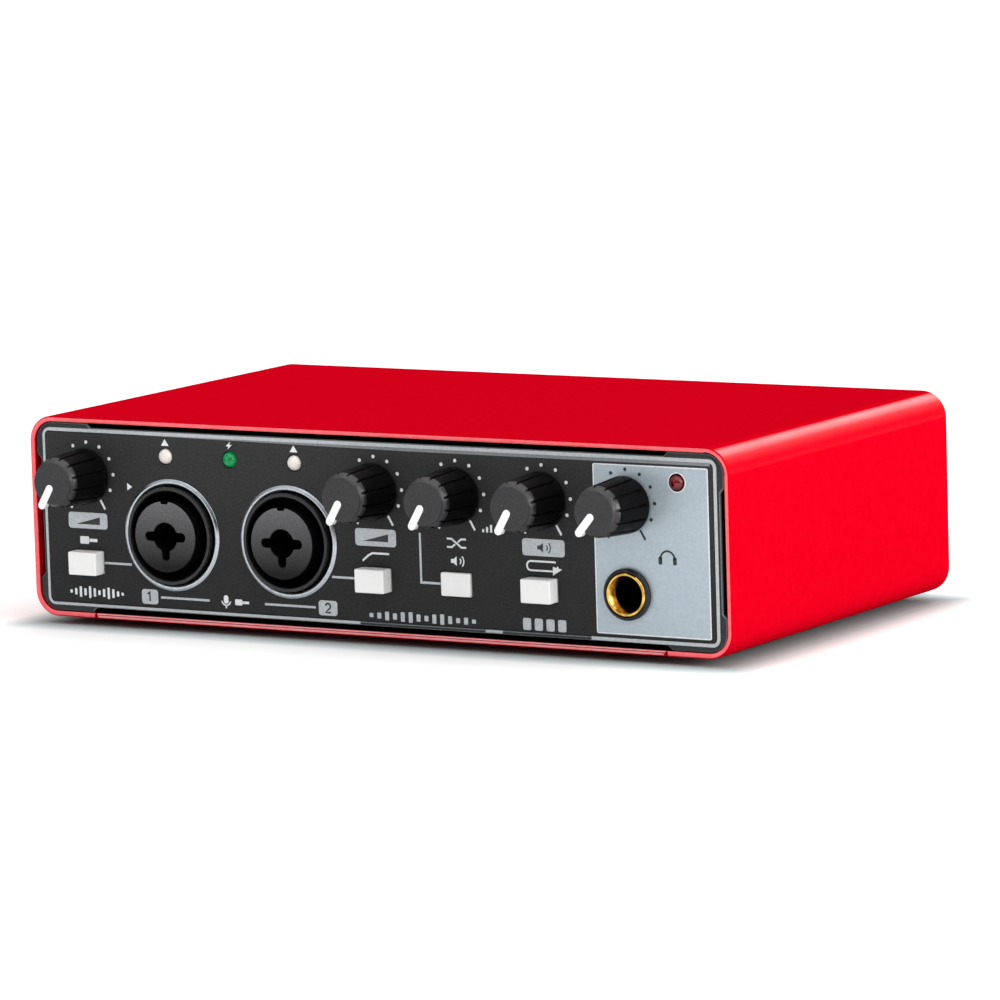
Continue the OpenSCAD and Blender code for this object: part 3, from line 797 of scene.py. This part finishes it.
def make_pointer(name):
    node = "pointer_" + name
    tip = proud(node)
    turn = math.radians(POINTER_TURN[name])
    front = on_front(*middle("knob_" + name))

    def to(u, v, w):
        return front(u * math.cos(turn) - v * math.sin(turn), u * math.sin(turn) + v * math.cos(turn), w)

    b = Build()
    half = POINTER_W / 2
    on_face = (POINTER_IN, tip - 1.1, tip)
    on_side = (NECK_R - 0.1, tip - 0.15 - POINTER_SIDE, tip - 0.16)
    for start, low, high in (on_face, on_side):
        bar = arc(start, 0, half, 90, 270, 12) + arc(POINTER_OUT, 0, half, -90, 90, 12)
        b.plate(bar, [], low, high, to, 0.14, 0.05, 3)
    b.finish("needle_" + name, WHITE, node, name + "_knob")


for knob in KNOBS:
    make_knob(knob)
    make_pointer(knob)

# ---- Push buttons ----

def make_button(name, frame_at, face_y):
    node = "button_" + name
    low, high = span(node)
    reach = abs((low.y if face_y == PANEL_Y else high.y) - face_y)
    depth = (high.y - low.y) - reach
    b = Build()
    to = frame_at(*middle(node))
    b.plate(round_rect(BUTTON_W, BUTTON_H, 0.35, 4), [], -depth + 1, reach, to, 0.3, 0, 4)
    b.plate(round_rect(BUTTON_W + 1.5, BUTTON_H + 1.5, 0.4, 4), [], -depth, -depth + 1, to, 0.15, 0.15)
    b.finish("cap_" + name, WHITE, node, name + "_button")


for button in BUTTONS:
    make_button(button, on_front, PANEL_Y)
make_button("phantom", on_rear, REAR_Y)

# ---- Input sockets ----

COLLAR_R, GROOVE_R, INSERT_R, PLUG_R, GROOVE_W, LOBE_W = 10.9, 9.8, 7.9, 3.2, -15.5, -9.0
LOBE_R, LOBE_AT, LOBE_NECK = 1.1, 4.2, 0.9


def clover(steps=240):
    """Opening for a plug with a rounded lobe at the left, below and at the right, its corners blended."""
    radii = []
    for i in range(steps):
        t = 360 * i / steps
        r = PLUG_R
        for a in (180, 270, 360):
            d = math.radians((t - a + 180) % 360 - 180)
            across = LOBE_AT * math.sin(d)
            if abs(across) < LOBE_R and abs(d) < 1:
                r = max(r, LOBE_AT * math.cos(d) + math.sqrt(LOBE_R ** 2 - across ** 2))
            if abs(d) < 1:
                neck = LOBE_NECK / max(abs(math.sin(d)), 1e-3)
                r = max(r, min(neck, LOBE_AT / math.cos(d)))
        radii.append(r)
    soft = []
    for i in range(steps):
        window = [radii[(i + k) % steps] for k in range(-2, 3)]
        soft.append(sum(window) / len(window))
    turns = [2 * math.pi * i / steps for i in range(steps)]
    return [polar(r, t) for r, t in zip(soft, turns)]


def keyed(r, steps=180):
    """Circle with a small flat-bottomed notch at the top."""
    out = []
    for i in range(steps):
        t = 2 * math.pi * i / steps
        d = abs(t - math.pi / 2)
        inside = abs(r * math.sin(d)) < 0.95 and d < 1
        q = (r - 0.65) / math.cos(d) if inside else r
        out.append(polar(q, t))
    return out


def make_combo(side):
    ring, housing, insert = ("combo_" + part + side for part in ("ring_", "housing_", "insert_"))
    to = on_front(*middle(ring))
    ring_reach, ring_r = proud(ring), size_of(ring).x / 2
    b = Build()
    profile = [(RING_IN, -0.05), (ring_r, -0.05), (ring_r, 0.1), (ring_r - 0.55, ring_reach),
               (RING_IN + 0.4, ring_reach), (RING_IN, 0.1)]
    b.lathe(eased(profile, 0.3, 4), to, 144, closed=True)
    b.finish("ring_" + side, SILVER, ring)

    reach, depth = proud(housing), PANEL_Y - span(housing)[1].y
    width, _, height = size_of(housing)
    b = Build()
    collar = [(GROOVE_R, GROOVE_W), (GROOVE_R, reach - 0.5), (GROOVE_R + 0.35, reach),
              (COLLAR_R - 0.1, reach), (COLLAR_R, reach - 0.3), (COLLAR_R, -PANEL_T - 0.1),
              (COLLAR_R, GROOVE_W)]
    b.lathe(eased(collar, 0.16, 4), to, 144, closed=True)
    box = round_rect(width, height, 0.8, 4)
    b.plate(box, [circle(COLLAR_R - 0.05, 96)], GROOVE_W, -PANEL_T - 0.1, to, 0.3, 0)
    b.plate(box, [circle(PLUG_R, 48)], depth + 1, GROOVE_W, to)
    b.plate(box, [], depth, depth + 1, to, 0, 0.3)
    b.finish("housing_" + side, SOCKET, housing)

    face = proud(insert)
    b = Build()
    b.plate(keyed(INSERT_R), [clover()], LOBE_W, face, to, 0.3, 0, 4)
    b.plate(keyed(INSERT_R), [circle(PLUG_R, 96)], GROOVE_W, LOBE_W, to)
    # Painted shade on all the insert's faces behind its front.
    b.paint(1, lambda x, y, z: y > PANEL_Y - face + 0.25)
    b.finish("insert_" + side, [INSERT, CAVITY_SHADE], insert, smooth=50)


for side in SIDES:
    make_combo(side)

# ---- Headphone socket and lamps ----


def make_phones():
    to = on_front(*middle("phones_bush"))
    nut_r = size_of("phones_nut").x / 2
    nut_w, bush_w = proud("phones_nut"), proud("phones_bush")
    b = Build()
    nut = [(NUT_HOLE_R, 0), (nut_r, 0), (nut_r, nut_w - 0.35), (nut_r - 0.4, nut_w), (NUT_HOLE_R, nut_w)]
    b.lathe(eased(nut, 0.2, 4), to, 96, closed=True)
    b.finish("headphone_nut", NUT_BLACK, "phones_nut")
    b = Build()
    bush = [(PLUG_R, -5.5), (BUSH_R, -5.5), (BUSH_R, bush_w - 0.3), (4.55, bush_w), (4.15, bush_w),
            (PLUG_R, bush_w - 1.6)]
    b.lathe(eased(bush, 0.22, 5), to, 96, closed=True)
    b.finish("headphone_bush", GOLD, "phones_bush")


make_phones()


def make_lamp(name, material):
    node = "lamp_" + name
    to = on_front(*middle(node))
    foot = 5
    profile = [(0, -foot), (LAMP_R + 0.4, -foot), (LAMP_R + 0.4, 1 - foot), (LAMP_R, 1 - foot)]
    profile += arc(0, proud(node) - LAMP_R, LAMP_R, 0, 90, 15)[:-1] + [(0, proud(node))]
    b = Build()
    b.lathe(profile, to, 48)
    for side in (-1, 1):
        leg = round_rect(0.5, 0.5, 0.1, 2, side * 0.9, 0)
        b.plate(leg, [], PANEL_Y - span(node)[1].y, -foot - 0.01, to)
    b.finish("light_" + name, material, node)


for lamp, material in LAMPS.items():
    make_lamp(lamp, material)

# ---- Rear ----

OUTPUT_Z = middle("output_nuts")[1]


def make_rear():
    width, _, height = size_of("rear_panel")
    outer = round_rect(width, height, BEND_R - SHEET - 0.2, 10, 0, MID_Z)
    holes = [circle(BUSH_HOLE_R, 64, -middle("output_jack_" + k)[0], OUTPUT_Z) for k in SIDES]
    holes += [circle(1.5, 32, -x, z) for (x, _, z), _ in solids("rear_screws")]
    width, _, height = size_of("usb_socket")
    x, z = middle("usb_socket")
    holes.append(round_rect(width + 0.4, height + 0.4, 0.5, 4, -x, z))
    x, z = middle("button_phantom")
    holes.append(button_window(-x, z))
    b = Build()
    b.plate(outer, holes, -SHEET, 0, on_rear(0, 0), 0.2, 0.1, 3)
    b.finish("back_panel", REAR, "rear_panel")


make_rear()


def make_output(side):
    node = "output_jack_" + side
    low, high = span(node)
    to = on_rear(middle(node)[0], OUTPUT_Z)
    reach, depth = high.y - REAR_Y, low.y - REAR_Y
    b = Build()
    bush = [(PLUG_R, depth + 1.5), (PLUG_R, reach - 0.5), (PLUG_R + 0.4, reach), (4.6, reach),
            (BUSH_R, reach - 0.3), (BUSH_R, -2), (BUSH_R, depth + 1.5)]
    b.lathe(eased(bush, 0.18, 4), to, 96, closed=True)
    w, h = high.x - low.x, high.z - low.z
    shell = round_rect(w, h, 0.8, 4, 0, (low.z + high.z) / 2 - OUTPUT_Z)
    b.plate(shell, [circle(4.75, 64)], depth + 1.5, -SHEET - 0.1, to, 0.3, 0)
    b.plate(shell, [], depth, depth + 1.5, to, 0, 0.3)
    b.finish("line_out_" + side, SOCKET, node)


def hexagon(r, limit, steps=96):
    """Six-sided outline with blunt corners, cut off by a circle of radius limit."""
    out = []
    for i in range(steps):
        t = math.radians(360 * i / steps)
        d = t % math.radians(60) - math.radians(30)
        q = min(r * math.cos(math.radians(30)) / math.cos(d), r - 0.12, limit)
        out.append(polar(q, t))
    return out


def make_nuts():
    b = Build()
    for (x, y, z), size in solids("output_nuts"):
        to = on_rear(x, z)
        top = y + size[1] / 2 - REAR_Y
        washer_r = size[0] / 2
        washer = [(4.85, 0), (washer_r, 0), (washer_r, 0.6), (4.85, 0.6)]
        b.lathe(eased(washer, 0.15, 3), to, 96, closed=True)
        outer = [(9, 0.6), (9, top - 0.7), (6.75, top - 0.35), (6.35, top - 0.1), (6.1, top)]
        rings = [b.ring(hexagon(washer_r - 0.6, limit), w, to) for limit, w in outer]
        rings += [b.ring(circle(r, 96), w, to) for r, w in ((5.1, top), (4.88, top - 0.25), (4.88, 0.6))]
        b.sleeve(rings, closed=True)
    b.finish("line_out_nuts", STEEL, "output_nuts")


for side in SIDES:
    make_output(side)
make_nuts()


def make_usb():
    low, high = span("usb_socket")
    to = on_rear(*middle("usb_socket"))
    shell = round_rect(high.x - low.x, high.z - low.z, 0.9, 5)
    mouth = [(-4.25, -3.9), (4.25, -3.9), (4.25, 2.6), (2.95, 3.9), (-2.95, 3.9), (-4.25, 2.6)]
    b = Build()
    b.plate(shell, [eased(mouth, 0.3, 3)], -9, high.y - REAR_Y, to, 0.25, 0)
    b.plate(shell, [], low.y - REAR_Y, -9, to, 0, 0.3)
    b.finish("data_socket", STEEL, "usb_socket")
    low, high = span("usb_tongue")
    tongue = round_rect(high.x - low.x, high.z - low.z, 0.25, 3)
    b = Build()
    b.plate(tongue, [], low.y - REAR_Y, high.y - REAR_Y, to, 0.2, 0)
    b.finish("data_tongue", WHITE, "usb_tongue")


make_usb()

# ---- CAD pieces that keep their own mesh ----

CAD_LOOKS = [
    (["cover_screws", "rear_screws"], STEEL),
    (["board_posts", "switch_bodies"], NYLON),
    (["main_board", "front_board"], BOARD),
    (["board_connector", "phones_jack"], SOCKET),
    (["capacitors"], SLEEVE),
    (["chips"], CHIP),
    (["potentiometer_bodies"], POT),
    (["shaft_" + k for k in KNOBS], ALLOY),
    (["stem_" + k for k in BUTTONS + ["phantom"]], NYLON),
    (["jack_contacts"], CONTACT),
]
for group, look in CAD_LOOKS:
    for node in group:
        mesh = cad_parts[node].data
        mesh.materials.clear()
        mesh.materials.append(look)

# ---- Printed marks, drawn on the panel's face ----

LINE = 0.5
DOT_R, DOT_AT, TICK_FROM, TICK_TO = 0.4, 7.0, 6.7, 9.1


def at(x, z, outline, scale=1.0):
    return [(x + scale * u, z + scale * v) for u, v in outline]


def dial(b, x, z, low=INK_LOW, top=INK_TOP):
    """Dots from eight o'clock over the top to four o'clock, and a tick at each end of the turn."""
    for turn in range(-30, 211, 30):
        dot = circle(DOT_R, 20, *polar(DOT_AT, math.radians(turn)))
        b.mark(at(x, z, dot), low, top)
    for turn in (240, 300):
        tick = [polar(r, math.radians(turn)) for r in (TICK_FROM, TICK_TO)]
        b.stroke(at(x, z, tick), LINE, False, low, top)


def speaker(b, x, z):
    """Small loudspeaker with two sound arcs."""
    s, top = 0.95, 0.05
    cone = [(-1.6, -0.45), (-0.9, -0.45), (-0.1, -1.1), (-0.1, 1.1), (-0.9, 0.45), (-1.6, 0.45)]
    b.mark(at(x, z, cone, s), top=top)
    for r in (0.9, 1.7):
        b.stroke(at(x, z, arc(0.1, 0, r, -42, 42, 8), s), 0.3 * s, top=top)


def wedge(b, x, z, w, h):
    """A level that grows to the right."""
    b.mark(at(x, z, [(-w / 2, -h / 2), (w / 2, -h / 2), (w / 2, h / 2)]), top=0.06)


def bars(b, x, z, w, heights):
    """A row of upright bars, like a level meter."""
    step = w / len(heights)
    for i, h in enumerate(heights):
        cx = x - w / 2 + step * (i + 0.5)
        b.mark(round_rect(step * 0.5, h, min(step * 0.2, 0.2), 3, cx, z))


# The printed scales stand a little higher than the knobs they surround.
DIAL_Z = middle("knob_mix")[1] + 0.5
GAIN_L, GAIN_R, MIX, OUTPUT, PHONES = ((middle("knob_" + k)[0], DIAL_Z) for k in KNOBS)
IN_L, IN_R = (middle("combo_ring_" + s) for s in SIDES)
HIZ, LOWCUT, MONITOR, LOOPBACK = (middle("button_" + k) for k in BUTTONS)
BASE_Z = 5.65
INLAY_L, INLAY_R, INLAY_B, INLAY_T = 55.9, 83.8, 4.05, 40.5
BORDER_X, BORDER_B, BORDER_T = 85.5, 2.9, 42.1


def make_white_marks():
    b = Build()
    for x, z in (GAIN_L, GAIN_R, MIX, OUTPUT):
        dial(b, x, z)
    x, z = HIZ[0], HIZ[1] + 4.9
    b.mark(round_rect(2.4, 1.7, 0.3, 3, x - 1.1, z))
    b.stroke([(x + 0.2, z), (x + 2.3, z)], 0.7)
    x, z = LOWCUT[0] + 0.1, LOWCUT[1] + 5.0
    b.stroke(at(x, z, [(-3.4, -1.0), (-1.9, 0.2), (-0.9, 0.75), (3.4, 0.75)]), 0.45)
    x, z = MIX[0] - 0.2, MIX[1] - 10.9
    b.stroke(at(x, z, [(-2.4, 0.9), (-1.2, 0.9), (1.2, -0.9), (2.4, -0.9)]), 0.42)
    b.stroke(at(x, z, [(-2.4, -0.9), (-1.2, -0.9), (-0.35, -0.25)]), 0.42)
    b.stroke(at(x, z, [(0.35, 0.25), (1.2, 0.9), (2.4, 0.9)]), 0.42)
    speaker(b, MONITOR[0] + 0.3, MONITOR[1] + 5.1)
    x, z = LOOPBACK[0] + 0.2, LOOPBACK[1] + 5.1
    loop = round_rect(7.6, 2.0, 0.95, 6, x, z)
    b.stroke(loop[4:] + loop[:1], 0.4)
    b.mark(at(x, z, [(2.6, -1.9), (4.9, -0.5), (2.6, 0.0)]), top=0.04)
    for i, h in enumerate((0.7, 1.2, 1.7)):
        b.mark(round_rect(0.5, h, 0.1, 2, MIX[0] + 6.6 + i, MIX[1] - 8.2 + h / 2))
    b.mark(at(IN_L[0] - 11.5, 30.0, [(0, -0.8), (1.3, 0), (0, 0.8)]))
    for name in ("peak_left", "peak_right"):
        b.mark(at(*middle("lamp_" + name), [(-1.0, 2.35), (1.0, 2.35), (0, 3.85)]))
    bolt = [(0.4, 4.0), (-0.8, 2.95), (-0.1, 2.95), (-0.4, 2.2), (0.8, 3.3), (0.1, 3.3)]
    b.mark(at(*middle("lamp_phantom"), bolt))
    mic = (IN_L[0] + IN_R[0]) / 2 - 1.6
    b.mark(round_rect(1.2, 1.9, 0.58, 5, mic, BASE_Z + 0.45))
    b.stroke(arc(mic, BASE_Z + 0.3, 1.15, 190, 350, 10), 0.3)
    b.stroke([(mic, BASE_Z - 0.85), (mic, BASE_Z - 1.5)], 0.35)
    b.mark(round_rect(1.9, 1.3, 0.25, 3, mic + 3.3, BASE_Z))
    b.stroke([(mic + 4.2, BASE_Z), (mic + 6.0, BASE_Z)], 0.55)
    bars(b, -72.7, BASE_Z + 0.15, 15, [0.8, 1.5, 2.4, 1.6, 2.7, 1.9, 1.1, 1.8, 2.6, 2.0, 1.2, 0.7])
    b.finish("marks_white", INK_WHITE)


def make_silver_marks():
    b = Build()
    bend = 9
    border = round_rect(2 * BORDER_X, BORDER_T - BORDER_B, 1.5, bend - 1, 0, (BORDER_T + BORDER_B) / 2)
    # The border is print; its top and right are printed wider, partly a painted highlight of its bevel.
    b.stroke([(54.5, BORDER_B)] + border[3 * bend:] + border[:bend + 1], 0.75, top=0.08)
    b.stroke(border[bend:3 * bend] + [(-3.6, BORDER_B)], 0.6, top=0.08)
    b.stroke([(28.2, BORDER_B), (32.4, BORDER_B)], 0.6, top=0.08)
    # Painted highlight: a grey band under the top border line, widening to the right.
    start, end, low, high = -60, BORDER_X - 1.2, BORDER_T - 1.1, BORDER_T - 0.3
    b.mark([(start, high - 0.15), (10, low), (end, low), (end, high), (start, high)])
    b.paint(1, lambda x, y, z: start - 0.1 < x < end + 0.1 and low - 0.01 < z < high + 0.01)
    for start_x, end_x in ((-55.6, -42.7), (-28.2, -15.0)):
        b.stroke([(start_x, BASE_Z), (end_x, BASE_Z)], LINE)
    b.stroke([(HIZ[0] + 4.1, HIZ[1]), (-63.1, HIZ[1])], LINE)
    b.stroke([(-10.5, LOWCUT[1]), (LOWCUT[0] - 5.0, LOWCUT[1])], LINE)
    b.stroke([(12.3, 23.4), (12.3, MONITOR[1]), (17.2, MONITOR[1])], LINE)
    bars(b, 12.3, 4.75, 28, [0.9, 1.3, 1.9, 1.4, 2.1, 2.3, 1.6, 1.2, 2.0, 2.3, 1.7, 1.1, 1.5, 0.9])
    for i in range(4):
        b.mark(round_rect(2.0, 2.6, 0.4, 4, 38.6 + 2.9 * i, 5.0))
    b.finish("marks_silver", [INK_SILVER, GREY_BAND_HIGHLIGHT])


def make_plaques():
    """Plates behind the pictograms of three dials and behind the numerals of the inputs."""
    b = Build()
    sizes = [(GAIN_L[0] - 0.2, 21.9, 10.4, 3.6), (GAIN_R[0], 21.8, 10.4, 3.8), (OUTPUT[0], 21.7, 10.5, 3.7)]
    sizes += [(-58.5, BASE_Z, 4.3, 3.3), (-11.8, BASE_Z, 4.8, 3.3)]
    for x, z, w, h in sizes:
        b.mark(round_rect(w, h, 0.7, 5, x, z), top=0.04)
    b.finish("plaques", INK_SILVER)


def make_inlay():
    w, h = INLAY_R - INLAY_L, INLAY_T - INLAY_B
    cx, cz = (INLAY_L + INLAY_R) / 2, (INLAY_B + INLAY_T) / 2
    lamp_x, lamp_z = middle("lamp_power")
    phones_x, phones_z = middle("phones_bush")
    holes = [circle(LAMP_R + 0.25, 40, lamp_x, lamp_z), circle(5.0, 64, phones_x, phones_z),
             circle(3.9, 48, *middle("knob_phones"))]
    b = Build()
    b.plate(round_rect(w, h, 0.4, 3, cx, cz), holes, INK_LOW, 0.06, FLAT, 0.05, 0, 2)
    b.finish("inlay", INLAY)
    # Painted highlight: a white line round the inlay's edge and round the lamp's hole.
    b = Build()
    b.stroke(round_rect(w - 0.24, h - 0.24, 0.3, 3, cx, cz), 0.26, closed=True, top=0.1)
    b.stroke(circle(LAMP_R + 0.36, 40, lamp_x, lamp_z), 0.22, closed=True, top=0.1)
    b.finish("inlay_edge_painted_highlight", INK_WHITE)


def make_dark_marks():
    """Marks on the inlay and on the plaques, a little higher than those."""
    b = Build()
    low, top = 0.02, 0.1
    dial(b, *PHONES, low, top)
    x, z = PHONES[0] + 9.8, 20.9
    b.stroke(arc(x, z - 0.1, 1.7, 0, 180, 14), 0.4, False, low, top)
    for side in (-1, 1):
        b.mark(round_rect(0.9, 1.7, 0.3, 3, x + 1.75 * side, z - 0.5), low, top)
    wedge(b, GAIN_L[0] - 0.2, 21.9, 6.4, 1.7)
    wedge(b, GAIN_R[0], 21.8, 6.4, 1.7)
    speaker(b, OUTPUT[0], 21.7)
    b.stroke([(-59.1, BASE_Z + 0.55), (-58.5, BASE_Z + 1.0), (-58.5, BASE_Z - 1.0)], 0.45, top=0.07)
    two = arc(-11.8, BASE_Z + 0.4, 0.62, 170, -40, 8) + [(-12.45, BASE_Z - 0.95), (-11.1, BASE_Z - 0.95)]
    b.stroke(two, 0.42, top=0.07)
    b.finish("marks_dark", INK_DARK)


make_white_marks()
make_silver_marks()
make_plaques()
make_inlay()
make_dark_marks()

# ---- Floor, lights and camera ----

FLOOR_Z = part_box("rubber_feet")[0].z
PAINTED_SHADOW_REACH = 0.008


def make_floor():
    """A white table with a painted contact shadow: its tone deepens within PAINTED_SHADOW_REACH of the
    casing's footprint.
    """
    size = 12.0
    mesh = bpy.data.meshes.new("floor")
    corners = [(x * size, y * size, FLOOR_Z) for x, y in ((-1, -1), (1, -1), (1, 1), (-1, 1))]
    mesh.from_pydata(corners, [], [(0, 1, 2, 3)])
    floor = linked("floor", mesh)
    m = bpy.data.materials.new("floor")
    m.use_nodes = True
    tree = m.node_tree
    point = add(tree, "ShaderNodeTexCoord").outputs["Object"]
    half = (CASE_W / 2 * MM, CASE_D / 2 * MM, 1.0)
    centre = place(0, CASE_D / 2, 0)
    steps = [("SUBTRACT", centre), ("ABSOLUTE", None), ("SUBTRACT", half), ("MAXIMUM", (0, 0, 0))]
    for operation, other in steps:
        step = add(tree, "ShaderNodeVectorMath", operation)
        if other is not None:
            step.inputs[1].default_value = other
        tree.links.new(point, step.inputs[0])
        point = step.outputs["Vector"]
    far = add(tree, "ShaderNodeVectorMath", "LENGTH")
    tree.links.new(point, far.inputs[0])
    reach = add(tree, "ShaderNodeMapRange", From_Max=PAINTED_SHADOW_REACH)
    tree.links.new(far.outputs["Value"], reach.inputs["Value"])
    # Painted shadow: dark next to the casing, fading to the table's white.
    close, middling, away = (0.38, 0.44, 0.44, 1), (0.61, 0.68, 0.68, 1), (0.93, 0.93, 0.93, 1)
    tone = ramp_of(tree, reach.outputs["Result"], (0, close), (0.5, middling), (1, away))
    shader = tree.nodes["Principled BSDF"]
    tree.links.new(tone, shader.inputs["Base Color"])
    shader.inputs["Roughness"].default_value = 0.9
    shader.inputs["Specular IOR Level"].default_value = 0.1
    mesh.materials.append(m)


def soft_light(name, where, target, width, height, watts):
    data = bpy.data.lights.new(name, "AREA")
    data.shape = "RECTANGLE"
    data.size = width
    data.size_y = height
    data.energy = watts
    light = linked(name, data)
    light.location = where
    light.rotation_mode = "QUATERNION"
    light.rotation_quaternion = (Vector(target) - light.location).to_track_quat("-Z", "Y")


def make_world():
    """A studio that is bright overhead and dim near the horizon."""
    world = bpy.data.worlds.new("studio")
    bpy.context.scene.world = world
    world.use_nodes = True
    tree = world.node_tree
    back = tree.nodes["Background"]
    where = add(tree, "ShaderNodeTexCoord")
    parts = add(tree, "ShaderNodeSeparateXYZ")
    tree.links.new(where.outputs["Generated"], parts.inputs["Vector"])
    sky = ramp_of(tree, parts.outputs["Z"], (0.15, (0.03, 0.03, 0.03, 1)), (0.75, (1.0, 1.0, 1.0, 1)))
    tree.links.new(sky, back.inputs["Color"])


make_floor()
make_world()
soft_light("overhead", (0.1, -0.25, 1.3), (0, 0, 0), 1.5, 1.5, 8.5)
soft_light("key_right", (1.1, -0.45, 0.55), (0.02, 0, 0.02), 0.6, 0.9, 5.5)
soft_light("side_right", (1.25, 0.15, 0.3), (0.02, 0, 0.02), 0.9, 0.5, 10.5)
soft_light("bend_strip", (0.1, 1.36, 0.83), (0.05, 0, 0.03), 0.55, 0.3, 4)
soft_light("backdrop", (0, 2.3, 1.0), (0, 2.3, 0), 4.0, 1.8, 26)
soft_light("front_left", (-0.9, -1.2, 0.5), (-0.03, -0.04, 0.02), 0.7, 0.7, 2)
bpy.context.scene.view_settings.view_transform = "Standard"


def make_camera():
    """Long lens from the front right, a little above, with a small roll."""
    turn, rise, roll, distance = math.radians(31.206), math.radians(8.024), math.radians(-1.734), 1.40215
    back = Vector((math.sin(turn) * math.cos(rise), -math.cos(turn) * math.cos(rise), math.sin(rise)))
    right = Vector((math.cos(turn), math.sin(turn), 0))
    up = back.cross(right)
    x = right * math.cos(roll) + up * math.sin(roll)
    y = up * math.cos(roll) - right * math.sin(roll)
    target = place(33.5, 0, 30.3)
    data = bpy.data.cameras.new("camera")
    data.lens = 236.4
    data.sensor_width = 36
    data.shift_x, data.shift_y = -0.002, 0.006
    data.clip_start, data.clip_end = 0.05, 60
    camera = linked("camera", data)
    axes = Matrix((x, y, back)).transposed().to_4x4()
    camera.matrix_world = Matrix.Translation(target + back * distance) @ axes
    bpy.context.scene.camera = camera


make_camera()
